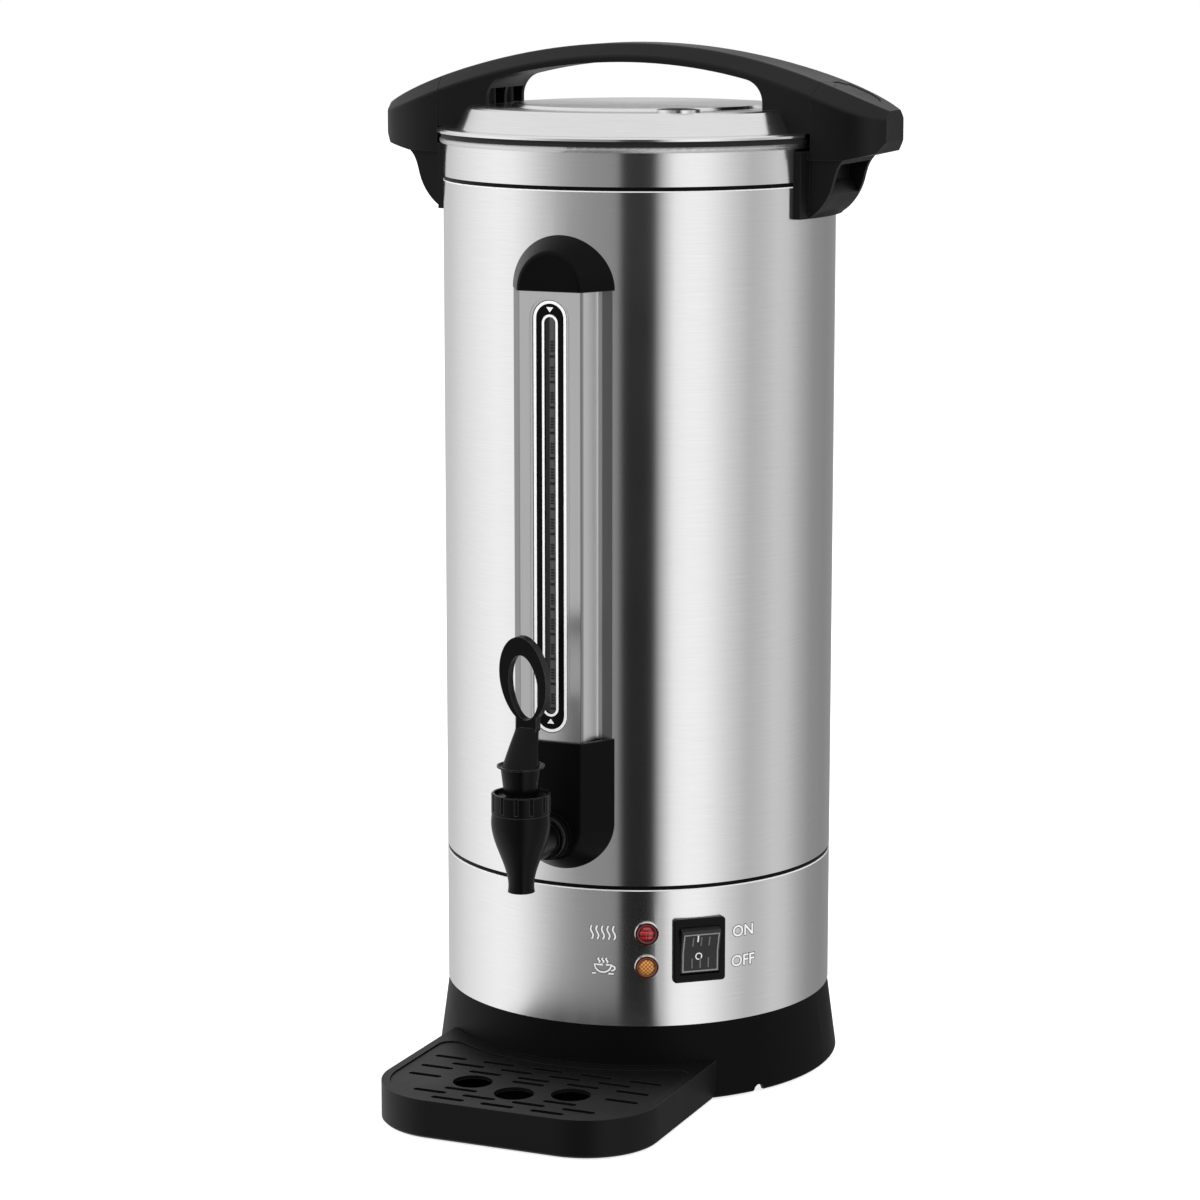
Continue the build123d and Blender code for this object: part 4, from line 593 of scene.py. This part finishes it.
def on_rocker(point):
    """Point over the rocker's face, which is hollowed along its middle: x, y and height."""
    x, y, height = point
    return rocker_place @ Vector((x, y, FACE_MIDDLE + abs(y) * FACE_RISE + height))


def laid_on_rocker(form):
    """Set what is drawn flat over the rocker's face."""
    for vertex in form.verts:
        vertex.co = on_rocker(vertex.co)


rocker_form = bmesh.new()
prism(rocker_form, ROCKER_SIDE, -ROCKER_HALF_W, ROCKER_HALF_W)
for vertex in rocker_form.verts:
    along, out, x = vertex.co
    vertex.co = rocker_place @ Vector((x, along, out))
rocker_black = moulded("rocker_black", (0.018, 0.018, 0.0185), 0.3, 0.000008, 600.0, 0.25)
rocker_cap = made("rocker_cap", rocker_form, rocker_black, "rocker", 0.0006)
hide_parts("switch_rocker")

rim_form = bmesh.new()
right = [(RIM_X, -RIM_Y + 2 * RIM_Y * i / RIM_STEPS) for i in range(RIM_STEPS + 1)]
left = [(-x, -y) for x, y in right]
outer = left[-1:] + right + left[:-1]
inner = [(x * (1 - RIM_W / RIM_X), y * (1 - RIM_W / RIM_Y)) for x, y in outer]
flat_ring(rim_form, outer, inner, -0.0001, RIM_H)
laid_on_rocker(rim_form)
# The rim is coloured mid-grey as a painted highlight along the rocker's edges.
rim_gloss, tree, shader = finish("rim_gloss", (0.26, 0.26, 0.265), 0.12)
feed(tree, shader, Roughness=swing(tree, grain(tree, 400.0), 0.1, 0.2))
made("rocker_rim", rim_form, rim_gloss, "rocker", 0.00012)

# The ribs are coloured grey as painted highlights.
rib_highlight_grey, tree, shader = finish("rubbed_black", (0.12, 0.12, 0.122), 0.3)
feed(tree, shader, Base_Color=mixed(tree, grain(tree, 300.0), (0.08, 0.08, 0.081, 1), (0.16, 0.16, 0.162, 1)))
grown("rocker_ribs", ROWS_OF_BARS, "rocker", "gloss_black",
      lambda p: on_rocker((p[0] - RIB_STEP, p[1] - RIB_Y, p[2])),
      Rows=2, Row_Step=(0, 2 * RIB_Y, 0), Bars=3, Bar_Step=(RIB_STEP, 0, 0), Bar_Size=RIB, Finish=rib_highlight_grey)

white_print, tree, shader = finish("white_print", (0.94, 0.94, 0.94), 0.5)
feed(tree, shader, Base_Color=mixed(tree, grain(tree, 500.0), grey(0.9), grey(0.98)))
mark_form = bmesh.new()
I_LEFT, I_RIGHT = I_X - I_HALF_W, I_X + I_HALF_W
prism(mark_form, [(I_LEFT, I_LOW), (I_RIGHT, I_LOW), (I_RIGHT, I_HIGH), (I_LEFT, I_HIGH)], -MARK_SUNK, MARK_H)
flat_ring(mark_form, circle(*O_PLACE, O_R), circle(*O_PLACE, O_HOLE_R), -MARK_SUNK, MARK_H)
laid_on_rocker(mark_form)
made("rocker_marks", mark_form, white_print, "rocker")

# ---- Marks on the band ----
# White silk-screened marks: ON and OFF beside the switch, and beside the lamps waves of heat and
# a steaming cup. Each sits on a thin dark outline, a painted shadow round the print.
INK = 0.00003
EDGE_SPREAD = 0.00036
STROKE_HALF_W = 0.00046
LETTER_WEIGHT = 0.00013
WORD_H = 0.0088
WORD_AZIMUTH = math.radians(54.5)
ON_Z, OFF_Z = 0.0935, 0.0765
SIGN_AZIMUTH = math.radians(12.4)
HEATING_Z, WARM_Z = 0.0963, 0.0774          # heights of the two lamps and of their signs
WAVE_H = 0.0076
WAVE_STEP = 0.0031
CUP_TOP = 0.0006                            # over the sign's middle, as the others of the cup
CUP_HALF_W = 0.0046
CUP_DEPTH = 0.0042
SAUCER_Y = -0.0044
STEAM_Y = 0.0018
STEAM_H = 0.0026
STEAM_STEP = 0.0022
# Dark outline under each mark: a painted shadow.
ink_edge, tree, shader = finish("ink_edge", (0.06, 0.06, 0.06), 0.5)
feed(tree, shader, Base_Color=mixed(tree, grain(tree, 500.0), grey(0.05), grey(0.09)))


def wrap(form, azimuth, z, lift):
    """Bend what is drawn flat onto the body's wall."""
    for vertex in form.verts:
        a = azimuth + vertex.co.x / WALL_R
        out = WALL_R + lift + vertex.co.z
        vertex.co = (out * math.sin(a), -out * math.cos(a), z + vertex.co.y)


def ribbon(form, points, half_w, height):
    """Flat stroke along points, closed all round."""
    rails = []
    for i, (x, y) in enumerate(points):
        ax, ay = points[max(i - 1, 0)]
        bx, by = points[min(i + 1, len(points) - 1)]
        run = math.hypot(bx - ax, by - ay)
        nx, ny = -(by - ay) / run * half_w, (bx - ax) / run * half_w
        rails.append([form.verts.new(p) for p in ((x + nx, y + ny, 0), (x - nx, y - ny, 0),
                                                  (x - nx, y - ny, height), (x + nx, y + ny, height))])
    for near, far in zip(rails, rails[1:]):
        band(form, near, far)
    form.faces.new(rails[0])
    form.faces.new(rails[-1][::-1])


def rising(x, low, height, swell, steps):
    """Upright wave of one whole swing."""
    return [(x + swell * math.sin(t * 2 * math.pi), low + t * height)
            for t in (i / steps for i in range(steps + 1))]


def heat_waves():
    """Five upright waves."""
    return [rising(i * WAVE_STEP, -WAVE_H / 2, WAVE_H, 0.0007, 20) for i in range(-2, 3)]


def steaming_cup():
    """Cup with a handle on a saucer, and three curls of steam."""
    bowl = arc(0, CUP_TOP, -CUP_HALF_W, -CUP_DEPTH, 0, math.pi, 20)
    brim = [(-0.005, CUP_TOP), (0.005, CUP_TOP)]
    ear = arc(CUP_HALF_W, -0.0012, 0.0021, -0.0014, -math.pi / 2, math.pi / 2, 12)
    saucer = [(-0.006, SAUCER_Y), (0.006, SAUCER_Y)]
    steam = [rising(i * STEAM_STEP, STEAM_Y, STEAM_H, 0.0005, 12) for i in range(-1, 2)]
    return [bowl, brim, ear, saucer, *steam]


def printed(name, azimuth, z, draw):
    """Mark in white on a painted shadow, centred on its place. What draws it is told how much wider."""
    for part, material, grow, lift in (("edge", ink_edge, EDGE_SPREAD, INK),
                                       ("ink", white_print, 0.0, 2 * INK)):
        form = bmesh.new()
        draw(form, grow)
        wrap(form, azimuth, z, lift)
        made(f"{name}_{part}", form, material, "urn")


def strokes(lines):
    """What draws a sign along its lines."""
    def draw(form, grow):
        """Add the lines, each wider by a growth."""
        for line in lines:
            ribbon(form, line, STROKE_HALF_W + grow, INK)
    return draw


def letters(words):
    """What draws a word in plain letters."""
    def draw(form, grow):
        """Add the letters, each bolder by a growth."""
        text = bpy.data.curves.new("word", "FONT")
        text.body = words
        text.size = WORD_H
        text.align_x = "CENTER"
        text.align_y = "CENTER"
        text.offset = LETTER_WEIGHT + grow
        text.extrude = INK / 2
        text.resolution_u = 6
        typed = bpy.data.objects.new("typed_word", text)
        bpy.context.collection.objects.link(typed)
        form.from_mesh(evaluated(typed))
        bpy.data.objects.remove(typed)
        bmesh.ops.remove_doubles(form, verts=form.verts, dist=0.000001)
    return draw


printed("mark_on", WORD_AZIMUTH, ON_Z, letters("ON"))
printed("mark_off", WORD_AZIMUTH, OFF_Z, letters("OFF"))
printed("mark_heat", SIGN_AZIMUTH, HEATING_Z, strokes(heat_waves()))
printed("mark_warm", SIGN_AZIMUTH, WARM_Z, strokes(steaming_cup()))

# ---- Indicator lamps ----
# Each lamp has a thin chromed ring, a dark sunk border and a faceted core that glows: red for
# heating, amber for keeping warm. The lens is one moulding of clear coloured plastic. The gauge's
# fittings and the tap's nut are chromed too.
chrome = plated("bright_chrome", 0.82, 0.07, 20.0)
dress(chrome, "lamp_bezels", "shank_tee", "gauge_elbow", "tap_shank_nut")
LAMP_AZIMUTH = math.radians(25.0)
LENS_SIDES = 72
LENS_R = 0.0064
CORE_R = 0.0039
CORE_RINGS = 24
CORE_H = 0.0012
DOME_H = 0.0012
BORDER_RINGS = 25
BORDER_H = 0.0013
BORDER_RISE = 0.0007
BORDER_RISE_W = 0.0009
RIDGE_R = 0.0051
RIDGE_H = 0.0002
RIDGE_HALF_W = 0.00016
# from the lens's rim back into the ring: radius, height over the wall
LENS_BACK = ((LENS_R, 0.00192), (LENS_R, 0.00184), (0.0045, 0.00184), (0.0045, -0.001))
# The cores' colour swings lighter and darker in these waves as painted highlights for the facets' shine.
FACET_SHINE = {"grid": 2900.0, "bands": 2200.0}   # radians per metre of the shine that facets throw back
LAMP_GLOW = 0.12


def lens_height(r, a, facets):
    """Height of the lens's front over the wall, with its facets pressed into the core."""
    if r > CORE_R:
        t = min(1.0, (r - CORE_R) / BORDER_RISE_W)
        ridge = RIDGE_H * math.exp(-((r - RIDGE_R) / RIDGE_HALF_W) ** 2)
        return BORDER_H + BORDER_RISE * t * t * (3 - 2 * t) + ridge
    dome = CORE_H + DOME_H * math.sqrt(max(0.0, 1 - (r / CORE_R) ** 2 * 0.95))
    x, y = r * math.cos(a), r * math.sin(a)
    fade = 1 - (r / CORE_R) ** 4
    if facets == "grid":
        return dome + fade * 0.0003 * math.sin(x / 0.00025) * math.sin(y / 0.00025)
    return dome + fade * 0.00022 * abs(math.sin(y / 0.0005)) + fade * 0.0001 * abs(math.sin(x / 0.0006))


def toned(colour, by, lift=0.0):
    """Colour made deeper or brighter."""
    return (*(min(1.0, c * by + lift) for c in colour), 1)


def lamp_lens(name, node, z, facets, core, border):
    """Lens of one lamp, in its ring."""
    form = bmesh.new()
    angles = [2 * math.pi * i / LENS_SIDES for i in range(LENS_SIDES)]
    radii = [CORE_R * i / CORE_RINGS for i in range(1, CORE_RINGS + 1)]
    radii += [CORE_R + (LENS_R - CORE_R) * i / BORDER_RINGS for i in range(1, BORDER_RINGS + 1)]
    rings = [[(r, a, lens_height(r, a, facets)) for a in angles] for r in radii]
    rings += [[(r, a, out) for a in angles] for r, out in LENS_BACK]
    rows = [[form.verts.new((r * math.cos(a), r * math.sin(a), out)) for r, a, out in ring] for ring in rings]
    for near, far in zip(rows, rows[1:]):
        for i in range(LENS_SIDES):
            j = (i + 1) % LENS_SIDES
            form.faces.new((near[i], far[i], far[j], near[j]))
    tip = form.verts.new((0, 0, lens_height(0, 0, facets)))
    for i in range(LENS_SIDES):
        form.faces.new((tip, rows[0][i], rows[0][(i + 1) % LENS_SIDES]))
    form.faces.new(rows[-1][::-1])
    lens_place = on_wall(LAMP_AZIMUTH, z)
    bmesh.ops.transform(form, matrix=lens_place, verts=form.verts)
    material, tree, shader = finish(name + "_plastic", core, 0.12)
    place = feed(tree, add(tree, "ShaderNodeMapping", vector_type="TEXTURE"), Vector=own_place(tree),
                 Location=lens_place.translation, Rotation=(0, 0, LAMP_AZIMUTH))
    x, _, y = split(tree, place.outputs[0])
    away = distance(tree, x, y)
    weave = reckon(tree, "SINE", reckon(tree, "MULTIPLY", y, FACET_SHINE[facets]))
    if facets == "grid":
        across = reckon(tree, "SINE", reckon(tree, "MULTIPLY", x, FACET_SHINE[facets]))
        weave = reckon(tree, "MULTIPLY", weave, across)
    rim = spread(tree, away, CORE_R, CORE_R * 1.15, 0.0, 1.0, "SMOOTHSTEP")
    # Painted highlights: the core's colour swings between deeper and brighter along the facets' waves.
    shade = mixed(tree, spread(tree, weave, -0.4, 0.4, 0.0, 1.0), toned(core, 0.3), toned(core, 1.6))
    off_ridge = reckon(tree, "ABSOLUTE", reckon(tree, "SUBTRACT", away, RIDGE_R))
    # Painted highlight: a paler ring along the border's ridge.
    ridge = spread(tree, off_ridge, 0.0001, 0.0003, 1.0, 0.0)
    sunk = mixed(tree, ridge, (*border, 1), toned(border, 2.2, 0.01))
    feed(tree, shader, Base_Color=mixed(tree, rim, shade, sunk), Coat_Weight=0.6,
         Emission_Color=mixed(tree, rim, (*core, 1), grey(0)), Emission_Strength=LAMP_GLOW)
    lens = made(name, form, material, "urn")
    if facets == "grid":
        lens.data.shade_smooth()
    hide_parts(node)


lamp_lens("red_lamp_lens", "heating_lamp_lens", HEATING_Z, "bands", (0.3, 0.008, 0.01), (0.05, 0.006, 0.005))
lamp_lens("amber_lamp_lens", "warm_lamp_lens", WARM_Z, "grid", (0.52, 0.2, 0.03), (0.075, 0.017, 0.004))

# ---- Level gauge cover ----
# Steel channel folded from sheet and ground along its length, with painted shade along its bends
# and on its flanges. It is trapped between the two black caps and stands off the wall in front of the tube.
BEND_OFF = 0.0181
BEND_HALF_W = 0.0002
FLANGE_OFF = 0.0232
SOFTENED = 0.0004
cover_steel, tree, shader = finish("ground_steel_cover", (0.78,) * 3, 0.3, 1.0)
brushed(tree, shader, 0.5, 0.0)
lines = grain(tree, 1.0, (LINES_PER_METRE, LINES_PER_METRE, 14.0))
across, _, _ = split(tree, own_place(tree))
off = reckon(tree, "ABSOLUTE", across)
off_bend = reckon(tree, "ABSOLUTE", reckon(tree, "SUBTRACT", off, BEND_OFF))
shaded_bend = spread(tree, off_bend, BEND_HALF_W, BEND_HALF_W + SOFTENED, 1.0, 0.0)
shaded_flange = spread(tree, off, FLANGE_OFF, FLANGE_OFF + 0.0006, 0.0, 1.0)
ground = mixed(tree, lines, grey(0.73), grey(0.84))
# Painted shade: the bends and flanges turn dark grey.
feed(tree, shader, Base_Color=mixed(tree, reckon(tree, "MAXIMUM", shaded_bend, shaded_flange), ground, grey(0.3)),
     Roughness=swing(tree, grain(tree, 12.0), 0.28, 0.34))
relief(tree, shader, lines, 0.0000015)
dress(cover_steel, "gauge_cover")
# The last number is the tone of the painted highlight along its edges.
cap_black = moulded("cap_black", (0.0018, 0.0018, 0.002), 0.36, 0.00003, 1500.0, 0.075, 0.03)
dress(cap_black, "gauge_top_cap", "gauge_bottom_cap")

# ---- Level gauge window ----
# Black surround set into the cover's window, with two white lines printed round it, small white
# arrows for the highest and lowest level, and a smoked strip with level ticks, darker on its
# left as painted shade and paler on its right as painted light.
window_low, window_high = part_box("gauge_frame")
strip_low, strip_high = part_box("gauge_lens")
frame_low, frame_high = window_low[2] + 0.0015, window_high[2] - 0.0015
slot_low, slot_high = strip_low[2], strip_high[2]
WINDOW_FRONT = -window_low[1]
FRAME_HALF_W = 0.0099
SLOT_HALF_W = 0.0031
OUTER_LINE = (0.0003, 0.0019)               # in from the surround's edge
INNER_LINE = (0.0015, 0.0002)               # out from the strip's edge
LINE_SUNK = 0.00002
ARROW_TIP, ARROW_BASE = 0.0027, 0.0054      # out from the strip's ends
ARROW_HALF_W = 0.002
ARC_STEPS = 16
STRIP_FRONT = WINDOW_FRONT - 0.0002
STRIP_HALF_W = SLOT_HALF_W - 0.00005
STRIP_RIDGE = 0.0006
STRIP_EDGE = 0.0002
STRIP_DEPTH = 0.001


def obround(half_w, z_low, z_high):
    """Loop round an upright slot with round ends."""
    half = arc(0, z_low + half_w, half_w, half_w, -math.pi / 2, 0, ARC_STEPS)
    half += arc(0, z_high - half_w, half_w, half_w, 0, math.pi / 2, ARC_STEPS)
    return half + [(-x, y) for x, y in half[::-1][1:-1]]


def line_round(form, half_w, z_low, z_high, offsets):
    """Printed line round an upright slot, between two distances out from it."""
    outer, inner = (obround(half_w + off, z_low - off, z_high + off) for off in offsets)
    flat_ring(form, outer, inner, -LINE_SUNK, MARK_H)


def on_gauge(form, front):
    """Turn what is drawn flat to face the front, at a distance from the axis."""
    for vertex in form.verts:
        x, y, out = vertex.co
        vertex.co = (x, -front - out, y)


dress(smooth_black, "gauge_frame")
line_form = bmesh.new()
line_round(line_form, FRAME_HALF_W, frame_low, frame_high, [-inwards for inwards in OUTER_LINE])
line_round(line_form, SLOT_HALF_W, slot_low, slot_high, INNER_LINE)
for end, way in ((slot_high, 1), (slot_low, -1)):
    base = end + way * ARROW_BASE
    arrow = [(0, end + way * ARROW_TIP), (ARROW_HALF_W, base), (-ARROW_HALF_W, base)]
    prism(line_form, arrow[::way], -LINE_SUNK, MARK_H)
on_gauge(line_form, WINDOW_FRONT)
made("gauge_lines", line_form, white_print, "urn")

strip_form = bmesh.new()
lower_end = [slot_low + STRIP_HALF_W * (1 - math.cos(math.pi / 2 * i / ARC_STEPS))
             for i in range(ARC_STEPS + 1)]
rows = []
for z in lower_end + [slot_high - (z - slot_low) for z in lower_end[::-1]]:
    end = max(0.0, STRIP_HALF_W - min(z - slot_low, slot_high - z))
    half = math.sqrt(max(STRIP_HALF_W ** 2 - end ** 2, 1e-10))
    rise = STRIP_RIDGE * half / STRIP_HALF_W
    section = ((-half, -STRIP_DEPTH), (-half, -STRIP_EDGE), (0, rise - STRIP_EDGE), (half, -STRIP_EDGE),
               (half, -STRIP_DEPTH))
    rows.append([strip_form.verts.new((x, z, out)) for x, out in section])
for near, far in zip(rows, rows[1:]):
    band(strip_form, near, far)
strip_form.faces.new(rows[0])
strip_form.faces.new(rows[-1][::-1])
on_gauge(strip_form, STRIP_FRONT)
smoked, tree, shader = finish("smoked_strip", (0.012, 0.012, 0.0125), 0.22)
across, _, _ = split(tree, own_place(tree))
cloudy = mixed(tree, grain(tree, 80.0), grey(0.055), grey(0.1))
# Painted shade and light: the strip is near black on its left and paler, cloudy grey on its right.
lit_right_side = spread(tree, across, -0.0004, 0.0003, 0.0, 1.0)
feed(tree, shader, Base_Color=mixed(tree, lit_right_side, grey(0.004), cloudy), Specular_IOR_Level=0.25)
relief(tree, shader, grain(tree, 500.0), 0.00001)
strip = made("gauge_strip", strip_form, smoked, "urn")
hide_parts("gauge_lens")

tick_black, tree, shader = finish("tick_black", (0.002, 0.002, 0.002), 0.5)
feed(tree, shader, Roughness=swing(tree, grain(tree, 300.0), 0.45, 0.6))
TICK_GROUP = 0.0137
TICK_STEP = 0.0016
TICK_X = 0.0013
TICK_SUNK = 0.0001
SHORT_TICK = (0.0017, 0.0004, 0.0008)
SHORT_TICKS_UP = 0.003                      # over the group's long tick
LONG_TICK = (0.0023, 0.0004, 0.0012)
groups = int((slot_high - slot_low - 2 * STRIP_HALF_W) / TICK_GROUP)
first = slot_low + STRIP_HALF_W


def on_strip(point, low):
    """Point over the strip's right slope."""
    x, depth, z = point
    x += TICK_X
    return Vector((x, -STRIP_FRONT - STRIP_RIDGE * (1 - abs(x) / STRIP_HALF_W) + TICK_SUNK + depth, low + z))


for name, low, ticks, size in (("gauge_short_ticks", first + SHORT_TICKS_UP, 4, SHORT_TICK),
                               ("gauge_long_ticks", first, 1, LONG_TICK)):
    grown(name, ROWS_OF_BARS, "urn", "gloss_black", lambda p: on_strip(p, low),
          Rows=groups, Row_Step=(0, 0, TICK_GROUP), Bars=ticks, Bar_Step=(0, 0, TICK_STEP), Bar_Size=size,
          Finish=tick_black)

# ---- Sight tube and its seals ----
# Plain glass tube between two plated fittings, with a silicone seal at each end. The tap's seat cup
# is the same silicone.
tube_glass, tree, shader = finish("tube_glass", (0.92, 0.95, 0.95), 0.02)
feed(tree, shader, Roughness=swing(tree, grain(tree, 60.0), 0.01, 0.04), Transmission_Weight=0.9, IOR=1.48)
dress(tube_glass, "sight_tube", "gauge_lens")
silicone = moulded("white_silicone", (0.6, 0.6, 0.57), 0.55, 0.00001, 400.0, 0.4)
dress(silicone, "gauge_seals", "tap_seat_cup")

# ---- Tap ----
# Turned and moulded black body with a fluted bonnet, and a lever whose looped blade is pulled
# forward. The lever turns on a black pin. The spring is bright steel, and the rising stem squeezes it
# against the bonnet.
# The last number is the tone of the painted highlight along its edges.
tap_black = moulded("tap_black", (0.002, 0.002, 0.0022), 0.3, 0.00002, 1700.0, 0.11, 0.07)
dress(tap_black, "tap_body", "tap_bonnet", "tap_lever", "lever_pin")
dress(polished, "tap_spring")
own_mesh(nodes["tap_spring"])

# ---- Lid ----
# Spun from one steel sheet and ground on the lathe, so its lines are circles, with a black vent
# plug pressed into a raised collar.
lid_steel = ground_round("ground_steel_lid", 0.76, 0.22, False)
dress(lid_steel, "lid_shell")
dress(smooth_black, "lid_vent")

# ---- Handles ----
# The lid's strap and the two fixed side handles, moulded in black nylon with a coarser skin than
# the skirt, with a painted highlight along their edges, and held by screws.
grip_black = moulded("grip_black", (0.0036, 0.0036, 0.004), 0.42, 0.00005, 1300.0, 0.19, 0.03)
dress(grip_black, "lid_handle", "side_handle_left", "side_handle_right")

# ---- Drip tray and grille ----
# Tray that hooks into the skirt and a slotted grille that lifts out of it, moulded in black plastic
# with slightly more shine than the skirt's.
# The last number is the tone of the painted highlight along its edges.
tray_black = moulded("tray_black", (0.0034, 0.0034, 0.0037), 0.42, 0.00004, 1400.0, 0.14, 0.035)
dress(tray_black, "drip_tray", "drip_grille")
